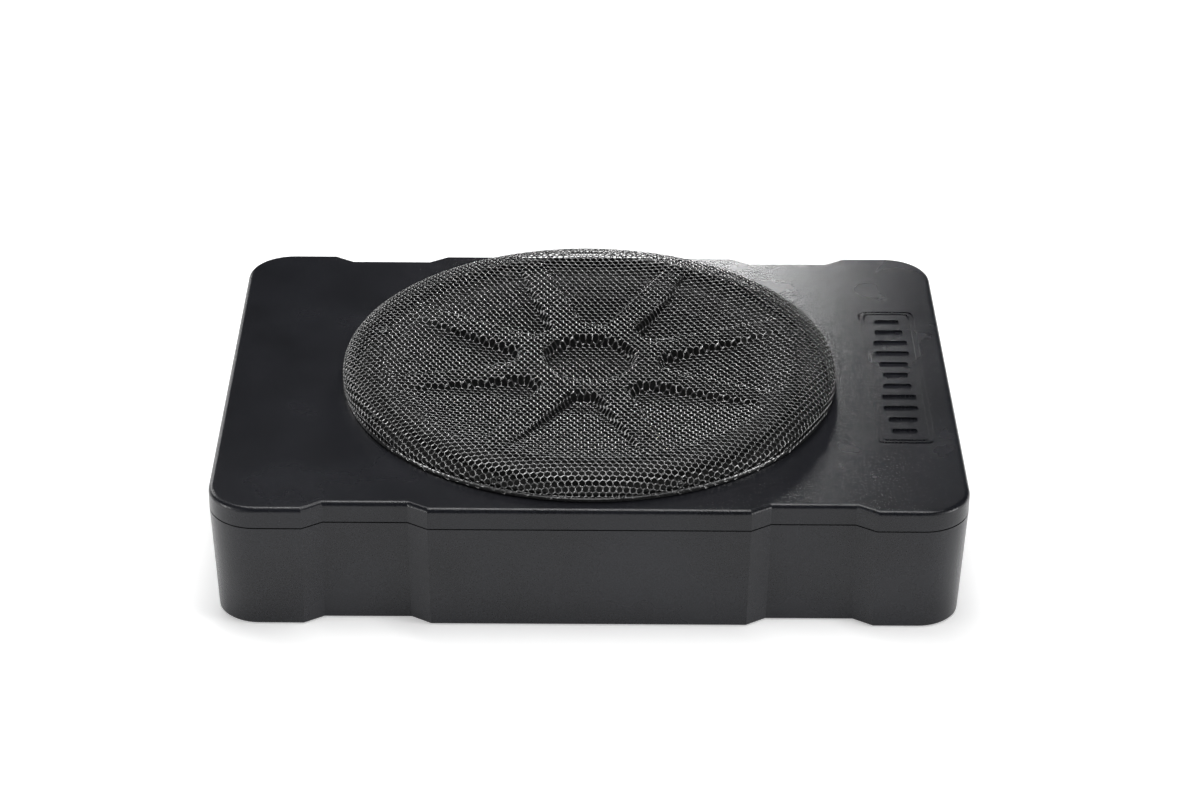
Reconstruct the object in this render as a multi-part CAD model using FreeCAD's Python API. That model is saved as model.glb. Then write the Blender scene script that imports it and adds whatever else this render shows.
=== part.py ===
import FreeCAD, Part
import math
import os

os.makedirs("parts", exist_ok=True)
Vec = FreeCAD.Vector
UP = Vec(0, 0, 1)

# Powered under-seat car subwoofer, millimetres. X runs along the long side towards the framed
# relief panel, Y towards the rear, Z up. The origin is under the middle of the housing.

# ---- castings -------------------------------------------------------------------------------
WIDTH = 360.0
DEPTH = 260.0
CORNER_R = 23.0
WALL = 3.0
DRAFT = 2.4                 # how far the foot of the tub is drawn in on each side
FOOT_BEVEL = 0.8
RIM_Z = 54.4                # upper face of the tub
SEAM = 0.6                  # open joint line between tub and cover
COVER_Z = RIM_Z + SEAM      # lower face of the cover's skirt
TOP_Z = 65.4                # upper face of the cover
PLATE = 4.0                 # thickness of the cover's top plate
COVER_EDGE_R = 2.4
NOTCH_X = 105.4             # centre of each notch in the long sides
NOTCH_FLAT = 40.0
NOTCH_CHAMFER = 9.5
NOTCH_DEPTH = 6.0

# ---- relief on the cover ------------------------------------------------------------------------
RELIEF_X = 153.5
RELIEF_Y = 1.5
RELIEF_DEPTH = 1.0
RELIEF_GROOVE = 1.2
RELIEF_FRAMES = ((14.5, 67.5, 4.5), (12.0, 65.0, 3.0))     # half length, half width, corner radius
RELIEF_BARS = 11
RELIEF_PITCH = 11.2
RELIEF_BAR_HALF = 2.6

# ---- screws through the tub into the cover, and the threaded inserts under the tub -----------
POSTS = [(x, y) for x in (-160.0, 160.0) for y in (-110.0, 110.0)]
POSTS += [(x, y) for x in (-60.0, 60.0) for y in (-118.5, 118.5)]
POST_R = 7.0
POST_WELL_R = 4.2           # deep well under each post that takes the screw head
POST_WELL_TOP = 42.0
INSERT_X = NOTCH_X
INSERT_Y = 110.0
INSERT_R = 3.5
INSERT_BORE_R = 2.1         # core of an M5 thread
INSERT_LENGTH = 8.0
INSERT_BOSS_R = 6.5
INSERT_BOSS_TOP = 11.0

# ---- driver ---------------------------------------------------------------------------------
SPOKES = 8
POCKET_R = 119.5            # round seat in the cover
POCKET_Z = 59.6
OPENING_R = 101.0
SEAT_RING_R = 124.0
SEAT_RING_Z = 57.0
FLANGE_R = 118.0
FLANGE_Z0 = 60.4
FLANGE_Z1 = 62.9
DRIVER_SCREW_R = 114.8      # radius of the circle that the driver's screws stand on
SCREW_R = 1.95
HOLE_R = 2.15
COIL_R = 25.4               # inside of the voice coil winding
NECK_Z = 46.5               # height of the cone's neck
CONE_R = 90.0
CONE_TOP = 62.6
SPIDER_Z = 41.5
MAGNET_R = 62.0
MAGNET_Z0 = 10.0
MAGNET_Z1 = 26.0
TOP_PLATE_R = 60.0
TOP_PLATE_Z = 32.0
COIL_Z0 = 24.0              # winding, from its lower to its upper end
COIL_Z1 = 34.0
FORMER_Z0 = 20.0
LEAD_Y = (-8.0, 8.0)        # the two leads, their lugs and their wires
LUG_X = -102.8              # outer face of the terminal strip

# ---- grille ---------------------------------------------------------------------------------
GRILLE_R = 123.0
GRILLE_SHEET = 1.0
GRILLE_WALL_TOP = 71.2
SHOULDER_R = 104.0          # where the flat crown turns into the shoulder
CROWN_Z = 78.3
HUB_TOP_Z = 75.7
HUB_R = 34.5
FIRST_SPOKE = 63.0          # direction of one raised spoke, degrees from +X
SPOKE_HALF = 7.0
EMBOSS_Z = 70.7             # floor of the pressed-in sectors at their inner ends
EMBOSS_R0 = 37.0
EMBOSS_CREASE_R = 88.0
EMBOSS_RISE = 0.10
EMBOSS_WALL = 0.55          # sideways run of the emboss walls per unit of height
DISC_R = 23.7

# ---- connection panel and board -------------------------------------------------------------
PANEL_X = -166.0            # outer face of the recessed panel
PANEL_T = 2.0
PANEL_HALF_Y = 91.7
PANEL_Z0 = 7.3
PANEL_Z1 = 43.7
POCKET_WALL = 4.0
BOARD_X0 = -160.0
BOARD_X1 = -84.0
BOARD_HALF_Y = 90.0
BOARD_Z0 = 16.0
BOARD_Z1 = 17.6
CONTROL_Z = 25.0            # height of every control and socket centre
POWER_Y = -73.0
SPEAKER_IN_Y = -46.0
RCA_Y = (-24.0, -8.0)
REMOTE_Y = 10.0
LED_Y = 19.3
KNOB_Y = (29.0, 44.0, 59.0)
SWITCH_Y = (70.0, 80.6)
KNOB_R = 5.4
SHAFT_R = 3.0
RUNNING = 0.05              # radial running clearance of the control shafts
SWITCH_TRAVEL = 2.0
BAR_X0 = -149.0             # heat spreader
BAR_X1 = -95.0
BAR_Y0 = 95.0
BAR_Y1 = 102.0
SPREADER_SCREWS = [(x, (BAR_Y0 + BAR_Y1) / 2) for x in (BAR_X0 + 8, BAR_X1 - 8)]
TRANSISTOR_X = [BAR_X0 + 7.5 + 13.0 * k for k in range(4)]
BOARD_POSTS = [(x, y) for x in (-142.0, -92.0) for y in (-84.0, 84.0)]
CLAMP_Z = 32.0              # height of the screws that clamp the transistors
TOROID = (-115.0, -58.0)
TOROID_Z = BOARD_Z1 + 8.6
CHOKE = (-124.0, -16.0)
CAPACITORS = ((-98.0, -24.0), (-140.0, 32.0), (-140.0, 52.0), (-96.0, 34.0), (-96.0, 54.0))
PANEL_IN = PANEL_X + PANEL_T
SOCKET_FACE = PANEL_X - 2.0
SOCKET_BACK = -149.0
POWER_HALF = (13.0, 6.5)    # half width and half height of the power socket's shell
SPEAKER_IN_HALF = (9.5, 5.5)
REMOTE_HALF = (6.6, 6.0)
RCA_R = 4.15
RCA_CORE_R = 3.3            # insulator inside the shell
RCA_PIN_R = 1.65            # hole for the plug's middle pin
RCA_TIP = PANEL_X - 8.0
SWITCH_SLOT = (4.6, 2.2)
LED_R = 1.5
SMALL_SCREW_R = 1.3


# ---- small building functions ---------------------------------------------------------------
def box(x0, x1, y0, y1, z0, z1):
    return Part.makeBox(x1 - x0, y1 - y0, z1 - z0, Vec(x0, y0, z0))


def rod(r, z0, z1, x=0.0, y=0.0):
    """Upright cylinder."""
    return Part.makeCylinder(r, z1 - z0, Vec(x, y, z0))


def rod_x(r, x0, x1, y, z):
    """Cylinder along X."""
    return Part.makeCylinder(r, x1 - x0, Vec(x0, y, z), Vec(1, 0, 0))


def rod_y(r, y0, y1, x, z):
    """Cylinder along Y."""
    return Part.makeCylinder(r, y1 - y0, Vec(x, y0, z), Vec(0, 1, 0))


def pipe(r_out, r_in, z0, z1, x=0.0, y=0.0):
    return rod(r_out, z0, z1, x, y).cut(rod(r_in, z0 - 1, z1 + 1, x, y))


def fuse(shapes):
    """One solid out of several that meet."""
    return shapes[0].multiFuse(shapes[1:]).removeSplitter() if len(shapes) > 1 else shapes[0]


def section(start, *steps):
    """Closed face in the XZ half plane. A step is an end point, or (via, end) for an arc."""
    here = Vec(start[0], 0, start[1])
    edges = []
    for step in steps + (start,):
        is_arc = isinstance(step[0], tuple)
        end = step[1] if is_arc else step
        there = Vec(end[0], 0, end[1])
        if is_arc:
            via = Vec(step[0][0], 0, step[0][1])
            edges.append(Part.Arc(here, via, there).toShape())
        else:
            edges.append(Part.makeLine(here, there))
        here = there
    return Part.Face(Part.Wire(edges))


def turned(face):
    """Solid of revolution about the Z axis."""
    return face.revolve(Vec(0, 0, 0), UP, 360)


def around(shape, count, first=0.0):
    """Copies of a shape spaced evenly about the Z axis."""
    copies = []
    for k in range(count):
        copy = shape.copy()
        copy.rotate(Vec(0, 0, 0), UP, first + k * 360.0 / count)
        copies.append(copy)
    return copies


def cable(points, radius):
    """Round wire along straight runs joined by tangent arcs."""
    knots = [Vec(*p) for p in points]
    edges = []
    start = knots[0]
    for before, corner, after in zip(knots, knots[1:], knots[2:]):
        back = before - corner
        ahead = after - corner
        reach = 0.45 * min(back.Length, ahead.Length)
        inwards = Vec(back).normalize() + Vec(ahead).normalize()
        half_angle = back.getAngle(ahead) / 2
        arc_r = reach * math.tan(half_angle)
        crown = corner + Vec(inwards).normalize() * (arc_r / math.sin(half_angle) - arc_r)
        first = corner + Vec(back).normalize() * reach
        last = corner + Vec(ahead).normalize() * reach
        edges.append(Part.makeLine(start, first))
        edges.append(Part.Arc(first, crown, last).toShape())
        start = last
    edges.append(Part.makeLine(start, knots[-1]))
    spine = Part.Wire(edges)
    ring = Part.Wire(Part.makeCircle(radius, knots[0], knots[1] - knots[0]))
    return spine.makePipeShell([ring], True, True)


def pan_screw(x, y, seat_z, length, head_r=3.6, head_h=2.3, r=SCREW_R, down=True):
    """Pan-head machine screw with a cross recess; its head stands on seat_z."""
    head = rod(head_r, seat_z, seat_z + head_h, x, y)
    rim = [e for e in head.Edges if abs(e.BoundBox.ZMin - seat_z - head_h) < 1e-6]
    head = head.makeFillet(head_h * 0.45, rim)
    shank = rod(r, seat_z - length, seat_z, x, y)
    screw = head.fuse(shank)
    slot_z = seat_z + head_h * 0.5
    for across, along in ((0.45, 1.9), (1.9, 0.45)):
        screw = screw.cut(box(x - across, x + across, y - along, y + along, slot_z, seat_z + 9))
    if not down:
        screw.rotate(Vec(x, y, seat_z), Vec(1, 0, 0), 180)
    return screw.removeSplitter()


# ---- castings -------------------------------------------------------------------------------
def outline(inset, z):
    """Outline of the body at height z, drawn in by inset: rounded corners, two notches a side."""
    half_x = WIDTH / 2 - inset
    half_y = DEPTH / 2 - inset
    r = CORNER_R - inset
    flat = NOTCH_FLAT / 2 + inset * math.tan(math.atan2(NOTCH_DEPTH, NOTCH_CHAMFER) / 2)
    mouth = flat + NOTCH_CHAMFER
    notch = [(-mouth, half_y), (-flat, half_y - NOTCH_DEPTH)]
    notch += [(flat, half_y - NOTCH_DEPTH), (mouth, half_y)]
    front = [(-(half_x - r), -half_y)]
    for centre in (-NOTCH_X, NOTCH_X):
        front += [(centre + dx, -y) for dx, y in notch]
    front += [(half_x - r, -half_y)]
    diagonal = r * math.sqrt(0.5)
    edges = []
    for turn in (1, -1):
        run = [Vec(turn * x, turn * y, z) for x, y in front]
        edges += [Part.makeLine(a, b) for a, b in zip(run, run[1:])]
        corner_1 = Vec(turn * (half_x - r + diagonal), turn * (-half_y + r - diagonal), z)
        side_0 = Vec(turn * half_x, turn * (-half_y + r), z)
        side_1 = Vec(turn * half_x, turn * (half_y - r), z)
        corner_2 = Vec(turn * (half_x - r + diagonal), turn * (half_y - r + diagonal), z)
        end = Vec(turn * (half_x - r), turn * half_y, z)
        edges.append(Part.Arc(run[-1], corner_1, side_0).toShape())
        edges.append(Part.makeLine(side_0, side_1))
        edges.append(Part.Arc(side_1, corner_2, end).toShape())
    return Part.Wire(edges)


def prism(inset, z0, z1):
    return Part.Face(outline(inset, z0)).extrude(Vec(0, 0, z1 - z0))


def drafted(inset, z0, z1, bevel=0.0):
    """Body outline drawn in at the foot by the casting draft."""
    low = DRAFT * (1 - z0 / RIM_Z)
    wires = [outline(inset + low + bevel, z0)]
    if bevel:
        wires.append(outline(inset + DRAFT * (1 - (z0 + bevel) / RIM_Z), z0 + bevel))
    wires.append(outline(inset + DRAFT * (1 - z1 / RIM_Z), z1))
    return Part.makeLoft(wires, True, True)


def panel_pocket():
    """Block behind the end wall and the stepped opening in it that takes the panel."""
    inner_x = PANEL_X + PANEL_T
    side = PANEL_HALF_Y + 0.3
    low = PANEL_Z0 - 0.3
    high = PANEL_Z1 + 0.3
    block = box(-WIDTH / 2 + 4, inner_x + 3, -side - POCKET_WALL, side + POCKET_WALL,
                WALL - 1, high + POCKET_WALL)
    mouth = box(-WIDTH / 2 - 5, inner_x, -side, side, low, high)
    window = box(inner_x - 1, inner_x + 9, -side + 6, side - 6, low + 4, high - 4)
    return block, mouth.fuse(window)


def lower_housing():
    tub = drafted(0, 0, RIM_Z, FOOT_BEVEL)
    hollow = drafted(WALL, WALL, RIM_Z + 2)
    tub = tub.cut(hollow)
    block, opening = panel_pocket()
    shape = tub.fuse(block)
    for x, y in POSTS:
        shape = shape.fuse(rod(POST_R, 1, RIM_Z, x, y))
    for x in (-INSERT_X, INSERT_X):
        for y in (-INSERT_Y, INSERT_Y):
            shape = shape.fuse(rod(INSERT_BOSS_R, 1, INSERT_BOSS_TOP, x, y))
    for x, y in BOARD_POSTS:
        shape = shape.fuse(rod(4.0, 1, BOARD_Z0, x, y))
    for y in (-40.0, 0.0, 40.0):
        rib = box(68, WIDTH / 2 - 4, y - 1.2, y + 1.2, 1, 9)
        shape = shape.fuse(rib)
    shape = shape.cut(opening)
    for x, y in POSTS:
        shape = shape.cut(rod(POST_WELL_R, -1, POST_WELL_TOP, x, y))
        shape = shape.cut(rod(HOLE_R, 0, RIM_Z + 1, x, y))
    for x in (-INSERT_X, INSERT_X):
        for y in (-INSERT_Y, INSERT_Y):
            shape = shape.cut(rod(INSERT_R, -1, INSERT_LENGTH, x, y))
    for x, y in BOARD_POSTS:
        shape = shape.cut(rod(SMALL_SCREW_R, BOARD_Z0 - 9, BOARD_Z0 + 1, x, y))
    for x, y in SPREADER_SCREWS:
        shape = shape.cut(Part.makeCone(3.7, 1.9, 2.0, Vec(x, y, 0)))
        shape = shape.cut(rod(1.9, -1, WALL + 1, x, y))
    for y, z in panel_screw_places():
        shape = shape.cut(rod_x(SMALL_SCREW_R, PANEL_X, PANEL_X + 9, y, z))
    return shape.removeSplitter()


def relief_panel():
    """Grooves of the framed relief at the badge end: two frames and a row of plain bars."""
    def rounded(half_x, half_y, r):
        core = box(RELIEF_X - half_x, RELIEF_X + half_x, RELIEF_Y - half_y, RELIEF_Y + half_y,
                   TOP_Z - RELIEF_DEPTH, TOP_Z + 3)
        upright = [e for e in core.Edges if e.BoundBox.ZLength > 1]
        return core.makeFillet(r, upright)

    frames = []
    for half_x, half_y, r in RELIEF_FRAMES:
        outer = rounded(half_x, half_y, r)
        inner = rounded(half_x - RELIEF_GROOVE, half_y - RELIEF_GROOVE, r - RELIEF_GROOVE)
        frames.append(outer.cut(inner))
    bars = []
    last = RELIEF_BARS - 1
    for k in range(RELIEF_BARS):
        y = RELIEF_Y + (k - last / 2) * RELIEF_PITCH
        reach = 6.4 + 2.6 * math.sin(2 * math.pi * k / last) ** 2
        bar = box(RELIEF_X - reach, RELIEF_X + reach, y - RELIEF_BAR_HALF, y + RELIEF_BAR_HALF,
                  TOP_Z - RELIEF_DEPTH, TOP_Z + 3)
        upright = [e for e in bar.Edges if e.BoundBox.ZLength > 1]
        bars.append(bar.makeFillet(1.4, upright))
    return frames + bars


def ring_tabs(grow):
    """Tabs under the grille's inner ring, and with grow the slots that take them."""
    tab = box(120.1 - grow, 121.5 + grow, -4 - grow, 4 + grow, TOP_Z - PLATE + 0.5 - grow, TOP_Z + 0.5)
    return around(tab, 6, 30.0)


def top_cover():
    body = prism(0, COVER_Z, TOP_Z)
    rim = [e for e in body.Edges if e.BoundBox.ZMin > TOP_Z - 1e-6]
    body = body.makeFillet(COVER_EDGE_R, rim)
    body = body.cut(prism(WALL, COVER_Z - 1, TOP_Z - PLATE))
    body = body.fuse(rod(SEAT_RING_R, SEAT_RING_Z, TOP_Z - PLATE + 1))
    for x, y in POSTS:
        body = body.fuse(rod(POST_R - 1, COVER_Z, TOP_Z - PLATE + 1, x, y))
    for boss in around(rod(4.2, 50.0, SEAT_RING_Z + 1, DRIVER_SCREW_R), SPOKES, 22.5):
        body = body.fuse(boss)
    for sx in (-1, 1):
        for sy in (-1, 1):
            rib = box(-1.2, 1.2, 123.0, 176.0, 57.5, TOP_Z - PLATE + 1)
            rib.rotate(Vec(0, 0, 0), UP, -56.0)
            rib = rib if sx > 0 else rib.mirror(Vec(0, 0, 0), Vec(1, 0, 0))
            rib = rib if sy > 0 else rib.mirror(Vec(0, 0, 0), Vec(0, 1, 0))
            body = body.fuse(rib)
    body = body.cut(rod(POCKET_R, POCKET_Z, TOP_Z + 5))
    body = body.cut(rod(OPENING_R, COVER_Z - 9, TOP_Z + 5))
    for x, y in POSTS:
        body = body.cut(rod(SCREW_R, COVER_Z - 1, TOP_Z - 2.5, x, y))
    for hole in around(rod(SCREW_R, 51.5, TOP_Z, DRIVER_SCREW_R), SPOKES, 22.5):
        body = body.cut(hole)
    for slot in ring_tabs(0.1):
        body = body.cut(slot)
    for cutter in relief_panel():
        body = body.cut(cutter)
    return body.removeSplitter()


def cover_gasket():
    return prism(0.8, RIM_Z, COVER_Z).cut(prism(WALL - 0.4, RIM_Z - 1, COVER_Z + 1))


def cover_screws():
    return [pan_screw(x, y, POST_WELL_TOP, 18.0, down=False) for x, y in POSTS]


def mounting_inserts():
    inserts = []
    for x in (-INSERT_X, INSERT_X):
        for y in (-INSERT_Y, INSERT_Y):
            inserts.append(pipe(INSERT_R, INSERT_BORE_R, 0, INSERT_LENGTH, x, y))
    return inserts


# ---- grille ---------------------------------------------------------------------------------
def sector_wire(inner_r, outer_r, spoke_half, corner_r, z):
    """Outline of one field between two spokes, opened along +X, with rounded inner corners."""
    half = math.pi / SPOKES
    corner = Vec(inner_r, inner_r * math.tan(half) - spoke_half / math.cos(half), z)
    along = Vec(math.cos(half), math.sin(half), 0)
    bite = corner_r / math.tan(math.pi / 4 + half / 2)
    towards = Vec(along.x, along.y - 1, 0).normalize()
    crown = corner_r / math.sin(math.pi / 4 + half / 2) - corner_r
    reach = math.sqrt(outer_r ** 2 - spoke_half ** 2)
    upper = [corner + Vec(0, -bite, 0), corner + towards * crown, corner + along * bite,
             Vec(reach * along.x + spoke_half * along.y, reach * along.y - spoke_half * along.x, z)]
    lower = [Vec(p.x, -p.y, p.z) for p in upper]
    return Part.Wire([
        Part.makeLine(lower[0], upper[0]),
        Part.Arc(upper[0], upper[1], upper[2]).toShape(),
        Part.makeLine(upper[2], upper[3]),
        Part.Arc(upper[3], Vec(outer_r, 0, z), lower[3]).toShape(),
        Part.makeLine(lower[3], lower[2]),
        Part.Arc(lower[2], lower[1], lower[0]).toShape()])


def grille_dome(sheet):
    """Solid under the grille's skin; sheet moves the skin inwards."""
    crown = CROWN_Z - sheet
    hub = HUB_TOP_Z - sheet
    foot = TOP_Z - 5 * sheet
    wall = GRILLE_R - sheet
    shoulder = Part.Ellipse(Vec(wall, 0, GRILLE_WALL_TOP), Vec(SHOULDER_R, 0, crown),
                            Vec(SHOULDER_R, 0, GRILLE_WALL_TOP))
    edges = [
        Part.makeLine(Vec(0, 0, foot), Vec(wall, 0, foot)),
        Part.makeLine(Vec(wall, 0, foot), Vec(wall, 0, GRILLE_WALL_TOP)),
        Part.ArcOfEllipse(shoulder, 0, math.pi / 2).toShape(),
        Part.Arc(Vec(SHOULDER_R, 0, crown), Vec(80, 0, crown - 1.8), Vec(HUB_R, 0, hub)).toShape(),
        Part.makeLine(Vec(HUB_R, 0, hub), Vec(0, 0, hub)),
        Part.makeLine(Vec(0, 0, hub), Vec(0, 0, foot))]
    return turned(Part.Face(Part.Wire(edges)))


def grille_emboss(sheet):
    """Tools that press in the eight sectors and the middle disc."""
    low = 68.0
    high = 82.0
    edge_z = HUB_TOP_Z
    grow = 1.15 * sheet
    floor = EMBOSS_Z - sheet
    crease = floor + EMBOSS_RISE * (EMBOSS_CREASE_R - EMBOSS_R0)
    above = turned(section(
        (30, floor - EMBOSS_RISE * (EMBOSS_R0 - 30)), (EMBOSS_CREASE_R, crease),
        (SHOULDER_R, CROWN_Z - sheet), (SHOULDER_R, high), (30, high)))

    def wire(z):
        run = EMBOSS_WALL * (edge_z - z) - grow
        return sector_wire(HUB_R + run, SHOULDER_R + 8, SPOKE_HALF + run, 5.0 - 0.5 * run, z)

    field = Part.makeLoft([wire(low), wire(high)], True, True).common(above)
    tools = around(field, SPOKES, FIRST_SPOKE + 180.0 / SPOKES)
    disc = Part.makeCone(DISC_R + grow - EMBOSS_WALL * (edge_z - floor),
                         DISC_R + grow - EMBOSS_WALL * (edge_z - high), high - floor,
                         Vec(0, 0, floor))
    return tools + [disc]


def grille():
    skin = grille_dome(0).cut(grille_emboss(0))
    core = grille_dome(GRILLE_SHEET).cut(grille_emboss(GRILLE_SHEET))
    return skin.cut(core)


def grille_ring():
    ring = pipe(GRILLE_R - GRILLE_SHEET - 0.2, 119.8, TOP_Z, 69.4)
    return fuse([ring] + ring_tabs(0.0))


# ---- driver ---------------------------------------------------------------------------------
def driver_basket():
    shell = turned(section(
        (30, 32), (62, 32), (72, 39), (99.5, 50), (99.5, FLANGE_Z0), (FLANGE_R, FLANGE_Z0),
        (FLANGE_R, FLANGE_Z1), (97, FLANGE_Z1), (97, 52.2), (70, SPIDER_Z), (60, SPIDER_Z),
        (60, 34.5), (30, 34.5)))
    window = Part.Face(sector_wire(74, 96, SPOKE_HALF, 5.0, 36)).extrude(Vec(0, 0, 23))
    for cutter in around(window, SPOKES):
        shell = shell.cut(cutter)
    for hole in around(rod(HOLE_R, 50, 70, DRIVER_SCREW_R), SPOKES, 22.5):
        shell = shell.cut(hole)
    return shell.removeSplitter()


def basket_gasket():
    ring = pipe(FLANGE_R, 103.0, POCKET_Z, FLANGE_Z0)
    for hole in around(rod(HOLE_R, 50, 70, DRIVER_SCREW_R), SPOKES, 22.5):
        ring = ring.cut(hole)
    return ring


def trim_ring():
    ring = turned(section(
        (107, 63.8), (112.3, 63.8), (112.3, FLANGE_Z1), (FLANGE_R, FLANGE_Z1),
        (FLANGE_R, 64.6), (117.2, 65.2), (107.8, 65.2), (107, 64.6)))
    for hole in around(rod(HOLE_R, 50, 70, DRIVER_SCREW_R), SPOKES, 22.5):
        ring = ring.cut(hole)
    return ring


def basket_screws():
    return around(pan_screw(DRIVER_SCREW_R, 0, 65.2, 13.0, head_r=2.9), SPOKES, 22.5)


def surround():
    """Half-roll edge between the cone and the basket."""
    land_z = FLANGE_Z1
    skin = 0.8
    return turned(section(
        (86.5, land_z), (90.8, land_z), ((98, land_z + 5.7), (105.2, land_z)), (112, land_z),
        (112, land_z + skin), (106, land_z + skin), ((98, land_z + 6.6), (90, land_z + skin)),
        (86.5, land_z + skin)))


def spider():
    """Corrugated suspension disc between the voice coil former and the basket's ledge."""
    r0 = COIL_R + 0.3
    r1 = 68.0
    land = 59.5
    waves = 6
    pitch = (land - r0 - 2) / waves
    skin = 0.6
    low = [(r0, SPIDER_Z)]
    high = [(r0, SPIDER_Z + skin)]
    for k in range(waves):
        for along, lift in ((0.25, 1.0), (0.75, -1.0)):
            r = r0 + 2 + (k + along) * pitch
            low.append((r, SPIDER_Z + lift))
            high.append((r, SPIDER_Z + skin + lift))
    low += [(land, SPIDER_Z), (r1, SPIDER_Z)]
    high += [(land, SPIDER_Z + skin), (r1, SPIDER_Z + skin)]
    outline_points = low + high[::-1]
    return turned(section(outline_points[0], *outline_points[1:]))


def cone():
    paper = 0.8
    slope_end = CONE_R - 4.0
    return turned(section(
        (COIL_R + 0.1, NECK_Z - 1.5), (COIL_R + 0.9, NECK_Z - 1.5), (COIL_R + 1.5, NECK_Z - 0.4),
        (slope_end + 0.2, CONE_TOP - paper), (CONE_R, CONE_TOP - paper), (CONE_R, CONE_TOP),
        (slope_end, CONE_TOP), (COIL_R + 0.1, NECK_Z + paper)))


def dust_cap():
    """Shallow spherical cap that closes the middle of the cone."""
    cap_r = 42.0
    foot = NECK_Z + 0.8 + (cap_r - COIL_R) * (CONE_TOP - NECK_Z - 0.8) / (CONE_R - 4.0 - COIL_R)
    rise = 8.8
    skin = 0.7
    crown_r = (cap_r ** 2 + rise ** 2) / (2 * rise)
    centre = Vec(0, 0, foot + rise - crown_r)
    shell = Part.makeSphere(crown_r + skin, centre).cut(Part.makeSphere(crown_r, centre))
    return shell.common(rod(cap_r, foot, foot + 2 * rise))


def pole_piece():
    """Back plate and pole in one turned piece, with a blind hole down the pole."""
    back = turned(section(
        (0, 5), (55.5, 5), (58, 7), (58, MAGNET_Z0), (24, MAGNET_Z0), (24, 31),
        (23, TOP_PLATE_Z), (7, TOP_PLATE_Z), (7, 27), (0, 27)))
    return back.removeSplitter()


def terminal_strip():
    strip = box(LUG_X, LUG_X + 3.0, -13, 13, 50.5, 56.0)
    foot = box(-100.8, -97.5, -4, 4, 51.5, 55.0)
    return strip.cut(foot)


def terminal_lugs():
    return [box(LUG_X - 0.8, LUG_X, y - 2.2, y + 2.2, 43.5, 55.0) for y in LEAD_Y]


def tinsel_leads():
    leads = []
    for y in LEAD_Y:
        route = [(-36, y, 45.2), (-56, y, 46.4), (-76, y, 45.4), (-90, y, 46.6), (-102.2, y, 46.0)]
        leads.append(cable(route, 0.6))
    return leads


def speaker_header():
    shell = box(-112, -100, -11, 11, BOARD_Z1, BOARD_Z1 + 9)
    return shell.cut(box(-110.5, -101.5, -9.5, 9.5, BOARD_Z1 + 2, BOARD_Z1 + 20))


def speaker_wires():
    wires = []
    for y in LEAD_Y:
        route = [(-106, y, BOARD_Z1 + 2.0), (-106, y, BOARD_Z1 + 13), (-105.2, y, 42.0),
                 (-105.2, y, 54.0)]
        wires.append(cable(route, 1.3))
    return wires


# ---- amplifier ------------------------------------------------------------------------------
def circuit_board():
    board = box(BOARD_X0, BOARD_X1, -BOARD_HALF_Y, BOARD_HALF_Y, BOARD_Z0, BOARD_Z1)
    upright = [e for e in board.Edges if e.BoundBox.ZLength > 1]
    board = board.makeFillet(2.0, upright)
    for x, y in BOARD_POSTS:
        board = board.cut(rod(1.7, 0, 30, x, y))
    return board


def board_screws():
    return [pan_screw(x, y, BOARD_Z1, 9.0, head_r=2.8, head_h=1.9, r=SMALL_SCREW_R)
            for x, y in BOARD_POSTS]


def heat_spreader():
    """Aluminium bar that carries the transistors' heat into the floor of the tub."""
    bar = box(BAR_X0, BAR_X1, BAR_Y0, BAR_Y1, WALL, 38.0)
    fin_pitch = 6.0
    for k in range(8):
        x = BAR_X0 + 5.0 + k * fin_pitch
        bar = bar.cut(box(x, x + 2.4, BAR_Y0 + 3.5, BAR_Y1 + 1, 12, 40))
    for x, y in SPREADER_SCREWS:
        bar = bar.cut(rod(1.5, WALL - 1, WALL + 7, x, y))
    for x in clamp_screw_x():
        bar = bar.cut(rod_y(1.3, BAR_Y0 - 1, BAR_Y0 + 3.2, x, CLAMP_Z))
    return bar


def spreader_screws():
    screws = []
    for x, y in SPREADER_SCREWS:
        screw = Part.makeCone(3.4, 1.5, 2.0, Vec(x, y, 0.3)).fuse(rod(1.5, 0.3, WALL + 6, x, y))
        screws.append(screw.removeSplitter())
    return screws


def power_transistors():
    parts = []
    for x in TRANSISTOR_X:
        body = box(x - 5, x + 5, BAR_Y0 - 4.4, BAR_Y0 - 0.0, 22.0, 36.0)
        for leg in (-2.54, 0.0, 2.54):
            body = body.fuse(box(x + leg - 0.4, x + leg + 0.4, 92.0, 92.6, 14.0, 23.0))
        parts.append(body)
    return parts


def clamp_screw_x():
    return [(a + b) / 2 for a, b in zip(TRANSISTOR_X, TRANSISTOR_X[1:])]


def clamp_bar():
    bar = box(BAR_X0, BAR_X1, BAR_Y0 - 5.6, BAR_Y0 - 4.4, 29.0, 35.0)
    for x in clamp_screw_x():
        bar = bar.cut(rod_y(1.5, BAR_Y0 - 9, BAR_Y0, x, CLAMP_Z))
    return bar


def clamp_screws():
    screws = []
    for x in clamp_screw_x():
        head = rod_y(2.6, BAR_Y0 - 7.4, BAR_Y0 - 5.6, x, CLAMP_Z)
        shank = rod_y(1.2, BAR_Y0 - 5.6, BAR_Y0 + 3.0, x, CLAMP_Z)
        screws.append(head.fuse(shank))
    return screws


def toroid_core():
    x, y = TOROID
    return pipe(19.0, 11.0, TOROID_Z - 5, TOROID_Z + 5, x, y)


def toroid_winding():
    x, y = TOROID
    turns = 20
    loop = Part.makeTorus(7.45, 0.95, Vec(15.0, 0, 0), Vec(0, 1, 0))
    loops = around(loop, turns)
    for copy in loops:
        copy.translate(Vec(x, y, TOROID_Z))
    return loops


def choke_core():
    x, y = CHOKE
    base = BOARD_Z1
    return fuse([rod(12.0, base, base + 2.5, x, y), rod(5.0, base + 2, base + 15, x, y),
                 rod(12.0, base + 14, base + 16.5, x, y)])


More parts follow.
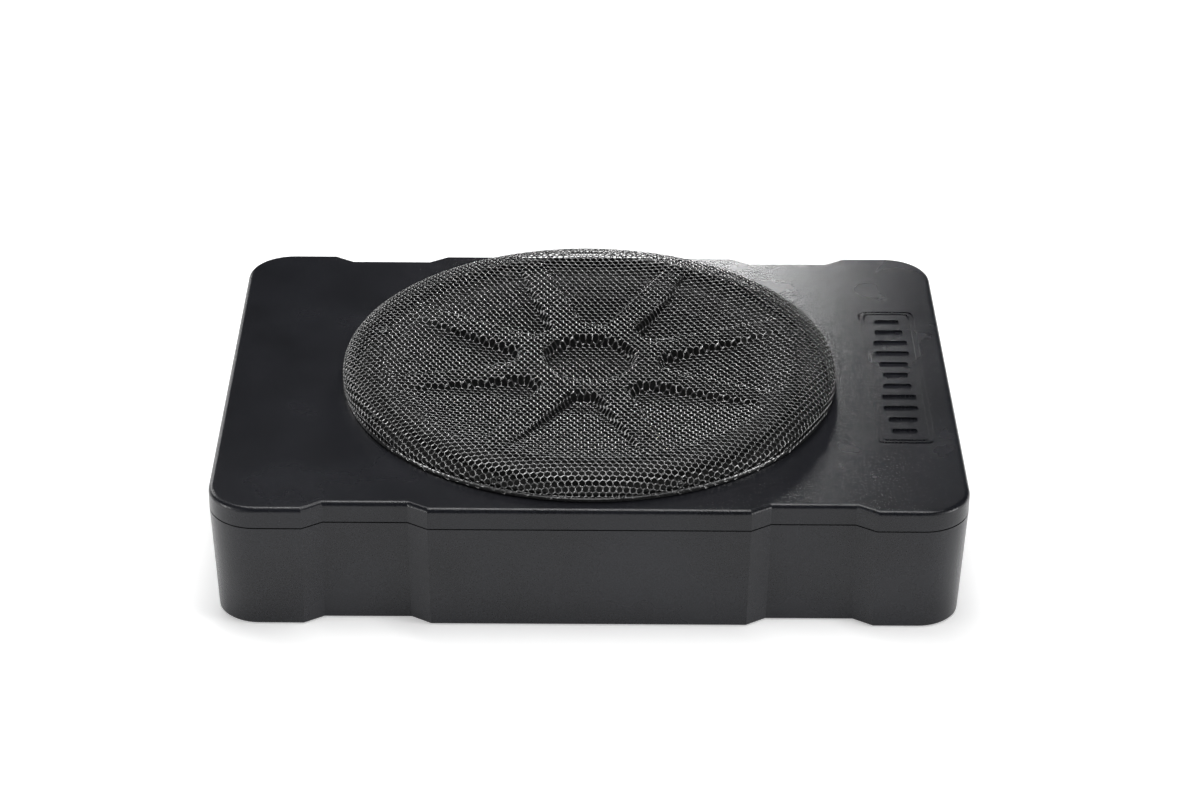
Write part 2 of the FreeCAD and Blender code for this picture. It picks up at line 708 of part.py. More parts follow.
def choke_winding():
    x, y = CHOKE
    rings = []
    for k in range(5):
        z = BOARD_Z1 + 3.7 + k * 2.25
        rings.append(Part.makeTorus(9.4, 1.1, Vec(x, y, z), UP))
    return rings


def capacitors():
    cans = []
    for x, y in CAPACITORS:
        top = BOARD_Z1 + 19.0
        can = rod(8.4, BOARD_Z1, top, x, y)
        can = can.cut(pipe(10.0, 7.7, BOARD_Z1 + 2.6, BOARD_Z1 + 3.8, x, y))
        rim = [e for e in can.Edges if e.BoundBox.ZMin > top - 1e-6]
        can = can.makeFillet(0.9, rim)
        vent = box(x - 6, x + 6, y - 0.3, y + 0.3, top - 0.4, top + 1)
        cans.append(can.cut(vent).cut(vent.rotated(Vec(x, y, 0), UP, 90)))
    return cans


def control_chips():
    chips = []
    for x, y, half_x, half_y in ((-118.0, 24.0, 7.0, 7.0), (-118.0, 50.0, 5.0, 9.0),
                                 (-138.0, -40.0, 4.0, 6.0), (-118.0, 72.0, 8.0, 3.5)):
        chips.append(box(x - half_x, x + half_x, y - half_y, y + half_y, BOARD_Z1, BOARD_Z1 + 2.2))
    return chips


# ---- connection panel -----------------------------------------------------------------------
def panel_screw_places():
    return [(y, z) for y in (-PANEL_HALF_Y + 3.6, PANEL_HALF_Y - 3.6)
            for z in (PANEL_Z0 + 2.8, PANEL_Z1 - 2.8)]


def window(half, y, grow=0.0):
    """Rectangular hole in the panel for a socket, centred on the control height."""
    return box(PANEL_X - 20, PANEL_IN + 1, y - half[0] - grow, y + half[0] + grow,
               CONTROL_Z - half[1] - grow, CONTROL_Z + half[1] + grow)


def control_panel():
    plate = box(PANEL_X, PANEL_IN, -PANEL_HALF_Y, PANEL_HALF_Y, PANEL_Z0, PANEL_Z1)
    for half, y in ((POWER_HALF, POWER_Y), (SPEAKER_IN_HALF, SPEAKER_IN_Y),
                    (REMOTE_HALF, REMOTE_Y)):
        plate = plate.cut(window(half, y, 0.1))
    for y in RCA_Y:
        plate = plate.cut(rod_x(RCA_R + 0.1, PANEL_X - 1, PANEL_IN + 1, y, CONTROL_Z))
    for y in KNOB_Y:
        plate = plate.cut(rod_x(SHAFT_R + 0.5, PANEL_X - 1, PANEL_IN + 1, y, CONTROL_Z))
    for y in SWITCH_Y:
        plate = plate.cut(window(SWITCH_SLOT, y))
    plate = plate.cut(rod_x(LED_R + 0.1, PANEL_X - 1, PANEL_IN + 1, LED_Y, CONTROL_Z))
    for y, z in panel_screw_places():
        plate = plate.cut(rod_x(1.7, PANEL_X - 1, PANEL_IN + 1, y, z))
    return plate


def panel_screws():
    screws = []
    for y, z in panel_screw_places():
        screw = pan_screw(0, 0, 0, 6.5, head_r=2.7, head_h=1.8, r=SMALL_SCREW_R)
        screw.rotate(Vec(0, 0, 0), Vec(0, 1, 0), -90)
        screw.translate(Vec(PANEL_X, y, z))
        screws.append(screw)
    return screws


def socket_shell(half, y, wall, depth):
    """Moulded socket standing on the board, hollow towards the outside, with a collar outside."""
    body = box(SOCKET_FACE + 1, SOCKET_BACK, y - half[0], y + half[0],
               CONTROL_Z - half[1], CONTROL_Z + half[1])
    foot = box(BOARD_X0 + 1, SOCKET_BACK, y - half[0], y + half[0], BOARD_Z1, CONTROL_Z)
    collar = box(SOCKET_FACE, PANEL_X, y - half[0] - 1.2, y + half[0] + 1.2,
                 CONTROL_Z - half[1] - 1.2, CONTROL_Z + half[1] + 1.2)
    hollow = box(SOCKET_FACE - 1, SOCKET_FACE + depth, y - half[0] + wall, y + half[0] - wall,
                 CONTROL_Z - half[1] + wall, CONTROL_Z + half[1] - wall)
    return fuse([body, foot, collar]).cut(hollow).removeSplitter()


def power_socket():
    return socket_shell(POWER_HALF, POWER_Y, 1.5, 14.0)


def power_pins():
    pins = []
    for k in range(3):
        y = POWER_Y + (k - 1) * 7.6
        pins.append(box(SOCKET_FACE + 9.0, SOCKET_FACE + 14.0, y - 2.4, y + 2.4,
                        CONTROL_Z - 0.5, CONTROL_Z + 0.5))
    return pins


def speaker_input_socket():
    return socket_shell(SPEAKER_IN_HALF, SPEAKER_IN_Y, 1.3, 12.0)


def speaker_input_pins():
    pins = []
    for k in range(4):
        y = SPEAKER_IN_Y + (k - 1.5) * 4.0
        pins.append(rod_x(0.7, SOCKET_FACE + 8.0, SOCKET_FACE + 12.0, y, CONTROL_Z))
    return pins


def remote_port():
    shell = socket_shell(REMOTE_HALF, REMOTE_Y, 1.2, 11.0)
    return shell.cut(box(SOCKET_FACE - 1, SOCKET_FACE + 7, REMOTE_Y - 1.8, REMOTE_Y + 1.8,
                         CONTROL_Z - REMOTE_HALF[1] + 0.4, CONTROL_Z))


def rca_shells():
    shells = []
    for y in RCA_Y:
        barrel = rod_x(RCA_R, RCA_TIP, SOCKET_BACK, y, CONTROL_Z)
        nut = rod_x(5.6, PANEL_X - 1.2, PANEL_X, y, CONTROL_Z)
        foot = box(BOARD_X0 + 1, SOCKET_BACK, y - 5, y + 5, BOARD_Z1, CONTROL_Z + 5)
        shell = fuse([barrel, nut, foot])
        bore = rod_x(RCA_CORE_R, RCA_TIP - 1, PANEL_X + 8, y, CONTROL_Z)
        tip = [e for e in shell.Edges if e.BoundBox.XMax < RCA_TIP + 1e-6]
        shells.append(shell.makeFillet(0.4, tip).cut(bore))
    return shells


def rca_insulator(y):
    body = rod_x(RCA_CORE_R, RCA_TIP + 1.0, PANEL_X + 8, y, CONTROL_Z)
    return body.cut(rod_x(RCA_PIN_R, RCA_TIP, PANEL_X + 2, y, CONTROL_Z))


def potentiometers():
    bodies = []
    for y in KNOB_Y:
        body = box(-161.5, -153.0, y - 5.5, y + 5.5, BOARD_Z1, CONTROL_Z + 5.5)
        bodies.append(body.cut(rod_x(SHAFT_R + RUNNING, -163, -156, y, CONTROL_Z)))
    return bodies


def control_shaft(y):
    shaft = rod_x(SHAFT_R, PANEL_X - 5.5, -156.5, y, CONTROL_Z)
    flat = box(PANEL_X - 6, PANEL_X - 0.6, y - 4, y + 4, CONTROL_Z + 1.8, CONTROL_Z + 9)
    return shaft.cut(flat)


def control_knob(y):
    """Fluted cap with a flat-sided blind hole for the shaft and a pointer groove."""
    outer_x = PANEL_X - 7.4
    inner_x = PANEL_X - 0.6
    cap = rod_x(KNOB_R, outer_x, inner_x, y, CONTROL_Z)
    tip = [e for e in cap.Edges if e.BoundBox.XMax < outer_x + 1e-6]
    cap = cap.makeFillet(0.7, tip)
    flutes = 12
    for k in range(flutes):
        turn = 2 * math.pi * (k + 0.5) / flutes
        groove_y = y + (KNOB_R + 0.45) * math.cos(turn)
        groove_z = CONTROL_Z + (KNOB_R + 0.45) * math.sin(turn)
        cap = cap.cut(rod_x(0.85, outer_x - 1, inner_x - 1.0, groove_y, groove_z))
    pointer = box(outer_x - 1, outer_x + 0.6, y - 0.45, y + 0.45, CONTROL_Z + 1.2, CONTROL_Z + 9)
    bore = rod_x(SHAFT_R, PANEL_X - 5.5, inner_x + 1, y, CONTROL_Z)
    bore = bore.cut(box(PANEL_X - 6, inner_x + 2, y - 4, y + 4, CONTROL_Z + 1.8, CONTROL_Z + 9))
    return cap.cut(pointer).cut(bore)


def switch_bodies():
    bodies = []
    for y in SWITCH_Y:
        body = box(-161.5, -154.5, y - 5.0, y + 5.0, BOARD_Z1, CONTROL_Z + 4.5)
        track = box(-163, -158.5, y - 3.9, y + 3.9, CONTROL_Z - 1.7, CONTROL_Z + 1.7)
        bodies.append(body.cut(track))
    return bodies


def switch_slider(y):
    """Slide button at the forward end of its track."""
    rest_y = y - SWITCH_TRAVEL / 2
    button = box(PANEL_X - 2.6, -159.0, rest_y - 2.0, rest_y + 2.0, CONTROL_Z - 1.4, CONTROL_Z + 1.4)
    for k in (-1, 0, 1):
        button = button.cut(box(PANEL_X - 4, PANEL_X - 2.2, rest_y + k * 1.2 - 0.25,
                                rest_y + k * 1.2 + 0.25, 0, 60))
    return button


def status_led():
    return fuse([rod_x(LED_R, PANEL_X - 0.8, -158.0, LED_Y, CONTROL_Z),
                 box(-158.5, -156.0, LED_Y - 1.6, LED_Y + 1.6, BOARD_Z1, CONTROL_Z + 1.6)])


# ---- every node -----------------------------------------------------------------------------
NODES = {
    "lower_housing": lower_housing,
    "top_cover": top_cover,
    "cover_gasket": cover_gasket,
    "cover_screws": cover_screws,
    "mounting_inserts": mounting_inserts,
    "grille": grille,
    "grille_ring": grille_ring,
    "driver_basket": driver_basket,
    "basket_gasket": basket_gasket,
    "trim_ring": trim_ring,
    "basket_screws": basket_screws,
    "surround": surround,
    "spider": spider,
    "cone": cone,
    "dust_cap": dust_cap,
    "voice_coil_former": lambda: pipe(COIL_R, COIL_R - 0.4, FORMER_Z0, NECK_Z + 2),
    "voice_coil_winding": lambda: pipe(COIL_R + 0.8, COIL_R, COIL_Z0, COIL_Z1),
    "pole_piece": pole_piece,
    "magnet": lambda: pipe(MAGNET_R, 34, MAGNET_Z0, MAGNET_Z1),
    "top_plate": lambda: pipe(TOP_PLATE_R, COIL_R + 1.4, MAGNET_Z1, TOP_PLATE_Z),
    "terminal_strip": terminal_strip,
    "terminal_lugs": terminal_lugs,
    "tinsel_leads": tinsel_leads,
    "speaker_header": speaker_header,
    "speaker_wires": speaker_wires,
    "circuit_board": circuit_board,
    "board_screws": board_screws,
    "heat_spreader": heat_spreader,
    "spreader_screws": spreader_screws,
    "power_transistors": power_transistors,
    "clamp_bar": clamp_bar,
    "clamp_screws": clamp_screws,
    "toroid_core": toroid_core,
    "toroid_winding": toroid_winding,
    "choke_core": choke_core,
    "choke_winding": choke_winding,
    "capacitors": capacitors,
    "control_chips": control_chips,
    "control_panel": control_panel,
    "panel_screws": panel_screws,
    "power_socket": power_socket,
    "power_pins": power_pins,
    "speaker_input_socket": speaker_input_socket,
    "speaker_input_pins": speaker_input_pins,
    "remote_port": remote_port,
    "rca_shells": rca_shells,
    "rca_insulator_left": lambda: rca_insulator(RCA_Y[0]),
    "rca_insulator_right": lambda: rca_insulator(RCA_Y[1]),
    "potentiometers": potentiometers,
    "gain_shaft": lambda: control_shaft(KNOB_Y[0]),
    "gain_knob": lambda: control_knob(KNOB_Y[0]),
    "low_pass_shaft": lambda: control_shaft(KNOB_Y[1]),
    "low_pass_knob": lambda: control_knob(KNOB_Y[1]),
    "bass_boost_shaft": lambda: control_shaft(KNOB_Y[2]),
    "bass_boost_knob": lambda: control_knob(KNOB_Y[2]),
    "switch_bodies": switch_bodies,
    "phase_switch": lambda: switch_slider(SWITCH_Y[0]),
    "level_switch": lambda: switch_slider(SWITCH_Y[1]),
    "status_led": status_led,
}

for node, make in NODES.items():
    made = make()
    shape = Part.makeCompound(made) if isinstance(made, list) else made
    expected = len(made) if isinstance(made, list) else 1
    size = shape.BoundBox
    print(f"{node:22s} solids {len(shape.Solids)} of {expected}  valid {shape.isValid()}  "
          f"volume {shape.Volume / 1000:8.2f} cm3  z {size.ZMin:6.2f} to {size.ZMax:6.2f}")
    shape.exportStep(f"parts/{node}.step")
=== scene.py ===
import math
import bpy
import numpy as np
from mathutils import Matrix, Vector


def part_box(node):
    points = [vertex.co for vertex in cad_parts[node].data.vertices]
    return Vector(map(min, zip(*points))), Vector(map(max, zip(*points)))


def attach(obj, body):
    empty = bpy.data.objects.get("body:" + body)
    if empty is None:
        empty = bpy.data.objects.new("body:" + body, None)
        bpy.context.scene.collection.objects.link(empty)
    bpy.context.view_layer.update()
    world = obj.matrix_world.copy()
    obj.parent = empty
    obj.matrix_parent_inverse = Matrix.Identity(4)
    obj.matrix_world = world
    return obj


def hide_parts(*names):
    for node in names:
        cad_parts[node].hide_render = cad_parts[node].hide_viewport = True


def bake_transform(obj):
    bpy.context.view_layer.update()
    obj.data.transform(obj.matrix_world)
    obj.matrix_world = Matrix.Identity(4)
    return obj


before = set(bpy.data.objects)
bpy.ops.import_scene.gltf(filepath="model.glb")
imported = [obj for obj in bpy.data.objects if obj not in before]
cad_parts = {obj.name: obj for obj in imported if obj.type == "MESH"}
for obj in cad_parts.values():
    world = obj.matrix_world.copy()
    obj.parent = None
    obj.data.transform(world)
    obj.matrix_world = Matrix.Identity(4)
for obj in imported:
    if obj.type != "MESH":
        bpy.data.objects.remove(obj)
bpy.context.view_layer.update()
scene = bpy.context.scene
scene.view_settings.view_transform = "Standard"


# ---- Camera --------------------------------------------------------------------------------------
# A long lens from the front, a little left of the middle and about thirty degrees up, turned
# by half a degree as a hand-levelled tripod head is.
def place_camera():
    spot = Vector((-0.00576, -1.44159, 0.87137))
    aim = Vector((0.00539, 0.0, 0.051))
    roll = 0.0096
    ahead = (aim - spot).normalized()
    right = ahead.cross(Vector((0, 0, 1))).normalized()
    up = right.cross(ahead)
    side = right * math.cos(roll) + up * math.sin(roll)
    top = up * math.cos(roll) - right * math.sin(roll)
    lens = bpy.data.cameras.new("camera")
    lens.sensor_width = 36.0
    lens.lens = 98.91
    lens.clip_start = 0.05
    lens.clip_end = 60.0
    camera = bpy.data.objects.new("camera", lens)
    scene.collection.objects.link(camera)
    turn = Matrix((side, top, -ahead)).transposed()
    camera.matrix_world = Matrix.Translation(spot) @ turn.to_4x4()
    scene.camera = camera


place_camera()


# ---- Node helpers, first needed by the floor -----------------------------------------------------
def new_material(name):
    """Node material with a Principled shader; returns the material, its tree and the shader."""
    material = bpy.data.materials.new(name)
    material.use_nodes = True
    tree = material.node_tree
    return material, tree, tree.nodes["Principled BSDF"]


def add_node(tree, kind, **settings):
    """A shader node with its properties set by name and its inputs set by socket name."""
    node = tree.nodes.new(kind)
    for name, value in settings.items():
        if hasattr(node, name):
            setattr(node, name, value)
        else:
            node.inputs[name.replace("_", " ")].default_value = value
    return node


def add_math(tree, operation, first, second=None):
    """Math node on sockets or numbers; returns its output socket."""
    node = tree.nodes.new("ShaderNodeMath")
    node.operation = operation
    for socket, value in zip(node.inputs, (first, second)):
        if isinstance(value, (int, float)):
            socket.default_value = value
        elif value is not None:
            tree.links.new(value, socket)
    return node.outputs[0]


def add_ramp(tree, value, stops):
    """Colour ramp on a value; each stop is a place and a grey level or a colour."""
    ramp = tree.nodes.new("ShaderNodeValToRGB")
    elements = ramp.color_ramp.elements
    for k, (place, tone) in enumerate(stops):
        colour = (tone, tone, tone) if isinstance(tone, (int, float)) else tone
        element = elements[k] if k < 2 else elements.new(place)
        element.position = place
        element.color = (*colour, 1.0)
    tree.links.new(value, ramp.inputs[0])
    return ramp.outputs[0]


def new_group(name, inputs, outputs):
    """Shader node group with float inputs (name, default) and outputs (name, socket type)."""
    group = bpy.data.node_groups.new(name, "ShaderNodeTree")
    for label, default in inputs:
        socket = group.interface.new_socket(label, in_out="INPUT", socket_type="NodeSocketFloat")
        socket.default_value = default
    for label, kind in outputs:
        group.interface.new_socket(label, in_out="OUTPUT", socket_type=kind)
    start = group.nodes.new("NodeGroupInput")
    end = group.nodes.new("NodeGroupOutput")
    return group, start, end


def use_group(tree, group, **values):
    """Places a group in a material with its own values."""
    node = tree.nodes.new("ShaderNodeGroup")
    node.node_tree = group
    for name, value in values.items():
        node.inputs[name.replace("_", " ")].default_value = value
    return node


def use_bump(tree, shader, height, distance, strength=1.0):
    """Feeds a height in metres-times-distance into the shader's normal."""
    bump = tree.nodes.new("ShaderNodeBump")
    bump.inputs["Strength"].default_value = strength
    bump.inputs["Distance"].default_value = distance
    tree.links.new(height, bump.inputs["Height"])
    tree.links.new(bump.outputs["Normal"], shader.inputs["Normal"])


def new_piece(name, points, faces, material, smooth=True):
    """Mesh object from points in metres, with one material."""
    mesh = bpy.data.meshes.new(name)
    mesh.from_pydata(points, [], faces)
    mesh.validate()
    mesh.materials.append(material)
    mesh.shade_smooth() if smooth else mesh.shade_flat()
    piece = bpy.data.objects.new(name, mesh)
    scene.collection.objects.link(piece)
    return piece


def paint(material, *names):
    """Gives a material to every slot of the named CAD nodes."""
    for name in names:
        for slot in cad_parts[name].material_slots:
            slot.material = material


# ---- Floor and light -----------------------------------------------------------------------------
# A seamless pale studio floor that glows a little, soft panels overhead and at both sides, and
# one small panel low behind on the right that lays a highlight on the rear of the top.
def pale_floor():
    material, tree, shader = new_material("studio_floor")
    shader.inputs["Roughness"].default_value = 0.9
    shader.inputs["Specular IOR Level"].default_value = 0.1
    noise = add_node(tree, "ShaderNodeTexNoise", Scale=3.0, Detail=2.0)
    tone = add_ramp(tree, noise.outputs[0], ((0.3, 0.93), (0.7, 0.95)))
    tree.links.new(tone, shader.inputs["Base Color"])
    shader.inputs["Emission Color"].default_value = (1.0, 1.0, 1.0, 1.0)
    shader.inputs["Emission Strength"].default_value = 0.40
    half = 12.0
    corners = [(-half, -half, 0), (half, -half, 0), (half, half, 0), (-half, half, 0)]
    floor = new_piece("studio_floor", corners, [(0, 1, 2, 3)], material)
    floor.location.z = -0.0002


def soft_light(name, spot, aim, width, height, power):
    lamp = bpy.data.lights.new(name, "AREA")
    lamp.shape = "RECTANGLE"
    lamp.size = width
    lamp.size_y = height
    lamp.energy = power
    light = bpy.data.objects.new(name, lamp)
    scene.collection.objects.link(light)
    light.location = spot
    light.visible_camera = False
    light.rotation_euler = (Vector(aim) - Vector(spot)).to_track_quat("-Z", "Y").to_euler()


def studio_air():
    world = bpy.data.worlds.new("studio_air")
    world.use_nodes = True
    world.node_tree.nodes["Background"].inputs[0].default_value = (0.93, 0.96, 1.0, 1.0)
    world.node_tree.nodes["Background"].inputs[1].default_value = 0.02
    scene.world = world


pale_floor()
studio_air()
soft_light("right_front", (1.4, -1.2, 0.6), (0.05, 0, 0.06), 0.8, 0.8, 3.0)
soft_light("left_front", (-1.4, -1.2, 0.6), (0.05, 0, 0.06), 0.8, 0.8, 2.6)
soft_light("right_low", (1.5, -0.5, 0.22), (0.05, 0, 0.03), 0.5, 0.4, 9.0)
soft_light("left_low", (-1.5, -0.5, 0.22), (-0.05, 0, 0.03), 0.5, 0.4, 8.0)
soft_light("left_rear", (-1.1, 1.2, 0.7), (0.0, 0, 0.06), 0.8, 0.8, 9.0)
soft_light("overhead", (0.05, 0.05, 1.4), (0.0, 0, 0.06), 1.4, 0.22, 17.0)
soft_light("overhead_rear", (0.0, 0.9, 1.5), (0.05, 0, 0.06), 0.8, 0.4, 3.0)
soft_light("rear_streak", (0.103, 0.87, 0.275), (0.08, 0.05, 0.06), 0.12, 0.14, 1.9)


# ---- Castings ------------------------------------------------------------------------------------
# The tub and its cover are die-cast aluminium, shot-blasted and powder coated charcoal black.
# The coat dries to a fine orange-peel grain, a little uneven in tone from place to place.
def make_powder_grain():
    group, start, end = new_group(
        "powder_grain", [("Grain", 1.0), ("Mottle", 1.0)],
        [("Tone", "NodeSocketFloat"), ("Rough", "NodeSocketFloat"), ("Height", "NodeSocketFloat")])
    place = group.nodes.new("ShaderNodeTexCoord").outputs["Object"]
    fine = add_node(group, "ShaderNodeTexNoise", Detail=3.0, Roughness=0.6)
    group.links.new(place, fine.inputs["Vector"])
    group.links.new(add_math(group, "MULTIPLY", start.outputs["Grain"], 1500.0), fine.inputs["Scale"])
    pits = add_node(group, "ShaderNodeTexVoronoi", feature="F1")
    group.links.new(place, pits.inputs["Vector"])
    group.links.new(add_math(group, "MULTIPLY", start.outputs["Grain"], 1100.0), pits.inputs["Scale"])
    cloud = add_node(group, "ShaderNodeTexNoise", Scale=22.0, Detail=4.0)
    group.links.new(place, cloud.inputs["Vector"])
    bumps = add_math(group, "SUBTRACT", fine.outputs[0], add_math(group, "MULTIPLY", pits.outputs[0], 0.35))
    group.links.new(bumps, end.inputs["Height"])
    patch = add_math(group, "MULTIPLY", add_math(group, "SUBTRACT", cloud.outputs[0], 0.5),
                     start.outputs["Mottle"])
    speck = add_math(group, "MULTIPLY", add_math(group, "SUBTRACT", fine.outputs[0], 0.5), 1.6)
    group.links.new(add_math(group, "ADD", add_math(group, "ADD", patch, speck), 0.5), end.inputs["Tone"])
    group.links.new(add_math(group, "ADD", add_math(group, "MULTIPLY", patch, 0.35), 0.5),
                    end.inputs["Rough"])
    return group


powder_grain = make_powder_grain()


def powder_coat(name, dark, light, rough, bump):
    material, tree, shader = new_material(name)
    grain = use_group(tree, powder_grain, Grain=1.0, Mottle=1.0)
    tone = add_ramp(tree, grain.outputs["Tone"], ((0.1, dark), (0.9, light)))
    tree.links.new(tone, shader.inputs["Base Color"])
    gloss = add_math(tree, "ADD", add_math(tree, "MULTIPLY", grain.outputs["Rough"], 0.12), rough - 0.06)
    tree.links.new(gloss, shader.inputs["Roughness"])
    shader.inputs["Specular IOR Level"].default_value = 0.34
    use_bump(tree, shader, grain.outputs["Height"], 0.00016, bump)
    return material


case_coat = powder_coat("case_coat", (0.0045, 0.0048, 0.0062), (0.017, 0.0178, 0.0225), 0.27, 0.6)
paint(case_coat, "lower_housing", "top_cover")


# ---- Grille --------------------------------------------------------------------------------------
# One disc of steel sheet punched with rows of hexagonal holes, pressed over a die that leaves
# eight raised spokes, a hub ring and a sunk disc, drawn down at the rim, and dipped semi-gloss
# black. It is kept as two meshes, crown and shoulder, that meet on the crease between them.
GRILLE_RIM = 0.123
SHOULDER_R = 0.104
CROWN_Z = 0.0783
SHOULDER_DROP = 0.0071
WALL_TOP = CROWN_Z - SHOULDER_DROP
HEM_TOP = 0.0684
HUB_R = 0.0345
HUB_Z = 0.0757
SPOKE_HALF = 0.007
FIELD_CORNER = 0.005
FIRST_SPOKE = math.radians(63.0)
EMBOSS_Z = 0.0707
EMBOSS_RUN = 0.55
EMBOSS_EDGE = 0.0004
FLOOR_RISE = 0.10
FLOOR_R = 0.037
FLOOR_RAMP_R = 0.088
FLOOR_RAMP_Z = EMBOSS_Z + 0.0051
DISC_R = 0.0237
SKIRT_R = 0.1288
HOLE_PITCH = 0.00325
STRAND = 0.00056
SHEET = 0.0008
ROW_TURN = math.radians(0.6)
BENT = 0.00012
HEM_FOOT = 0.0655
HEM_HALF = 0.00055
HEM_WAVE = 0.00009
HEM_STEPS = 952


def soft_max(a, b, blend=0.00035):
    """Larger of two heights with the bend radius of pressed sheet between them."""
    h = np.clip(0.5 + 0.5 * (a - b) / blend, 0, 1)
    return b + (a - b) * h + blend * h * (1 - h)


def soft_min(a, b, blend=0.00035):
    return -soft_max(-a, -b, blend)


def crown_height(r):
    """Tops of the spokes and hub: flat over the hub, rising to the crease."""
    chord = (CROWN_Z - HUB_Z) / (SHOULDER_R - HUB_R) ** 1.6
    return HUB_Z + chord * np.clip(r - HUB_R, 0, None) ** 1.6


def field_depth_in(x, y):
    """How far inside the nearest field between two spokes a point lies, with rounded corners."""
    step = math.pi / 4
    angle = np.arctan2(y, x) - FIRST_SPOKE
    turn = np.abs(np.mod(angle, step) - step / 2)
    r = np.hypot(x, y)
    along = r * np.cos(turn)
    across = r * np.sin(turn)
    lean = step / 2
    start = HUB_R + FIELD_CORNER
    inner = along - start
    side = along * math.sin(lean) - across * math.cos(lean) - SPOKE_HALF - FIELD_CORNER
    corner = (start * math.sin(lean) - SPOKE_HALF - FIELD_CORNER) / math.cos(lean)
    off_x = along - start
    off_y = across - corner
    beyond = (off_y > 0) & (off_x * math.cos(lean) + off_y * math.sin(lean) < 0)
    depth = np.where(beyond, -np.hypot(off_x, off_y), np.minimum(inner, side))
    return depth + FIELD_CORNER


def pressed_height(x, y):
    """Height of the pressed crown over a point in plan."""
    r = np.hypot(x, y)
    floor = EMBOSS_Z + FLOOR_RISE * (r - FLOOR_R)
    outer = FLOOR_RAMP_Z + (CROWN_Z - FLOOR_RAMP_Z) * (r - FLOOR_RAMP_R) / (SHOULDER_R - FLOOR_RAMP_R)
    floor = soft_max(floor, outer, 0.0003)
    field = soft_max(floor, HUB_Z + EMBOSS_EDGE - field_depth_in(x, y) / EMBOSS_RUN)
    disc = soft_max(EMBOSS_Z + 0 * r, HUB_Z + EMBOSS_EDGE - (DISC_R - r) / EMBOSS_RUN)
    return soft_min(crown_height(r), soft_min(field, disc))


def shoulder_line():
    """Arc length against radius and height, from the crease down the shoulder and the wall."""
    turn = np.linspace(0, math.pi / 2, 200)
    r = SHOULDER_R + (GRILLE_RIM - 0.0003 - SHOULDER_R) * np.sin(turn)
    z = WALL_TOP + SHOULDER_DROP * np.cos(turn)
    r = np.append(r, r[-1])
    z = np.append(z, z[-1] - 0.02)
    length = np.concatenate(([0], np.cumsum(np.hypot(np.diff(r), np.diff(z)))))
    return length, r, z


SHOULDER_LINE = shoulder_line()


def on_sheet(u, v):
    """Point of the finished grille for a point of the flat blank."""
    rho = np.hypot(u, v)
    down = np.clip(rho - SHOULDER_R, 0, None)
    length, radius, height = SHOULDER_LINE
    r = np.where(rho < SHOULDER_R, rho, np.interp(down, length, radius))
    scale = r / np.maximum(rho, 1e-9)
    x = u * scale
    y = v * scale
    z = np.where(rho < SHOULDER_R, pressed_height(x, y), np.interp(down, length, height))
    return np.stack([x, y, z], axis=-1)


def sheet_points(u, v, lift):
    """Points of the blank, moved off the middle of the sheet by lift along its normal."""
    step = 0.0002
    normal = np.cross(on_sheet(u + step, v) - on_sheet(u - step, v),
                      on_sheet(u, v + step) - on_sheet(u, v - step))
    normal /= np.linalg.norm(normal, axis=-1, keepdims=True)
    return on_sheet(u, v) + normal * lift


def hole_centres(low, high):
    """Centres of the punched holes whose place on the blank lies between two radii."""
    count = int(high / HOLE_PITCH) + 3
    column, row = np.meshgrid(np.arange(-count, count + 1), np.arange(-count - 8, count + 9))
    x = (column + 0.5 * (row % 2)) * HOLE_PITCH
    y = row * HOLE_PITCH * math.sqrt(0.75)
    u = x * math.cos(ROW_TURN) - y * math.sin(ROW_TURN)
    v = x * math.sin(ROW_TURN) + y * math.cos(ROW_TURN)
    rho = np.hypot(u, v)
    keep = (rho >= low) & (rho < high)
    return u[keep], v[keep]


def hexagon(radius):
    """Corners of a hole or cell and the middles of its sides, in turn."""
    turn = ROW_TURN + math.radians(30) + np.arange(6) * math.radians(60)
    corners = radius * np.stack([np.cos(turn), np.sin(turn)], axis=1)
    middles = 0.5 * (corners + np.roll(corners, -1, axis=0))
    return np.stack([corners, middles], axis=1).reshape(12, 2)


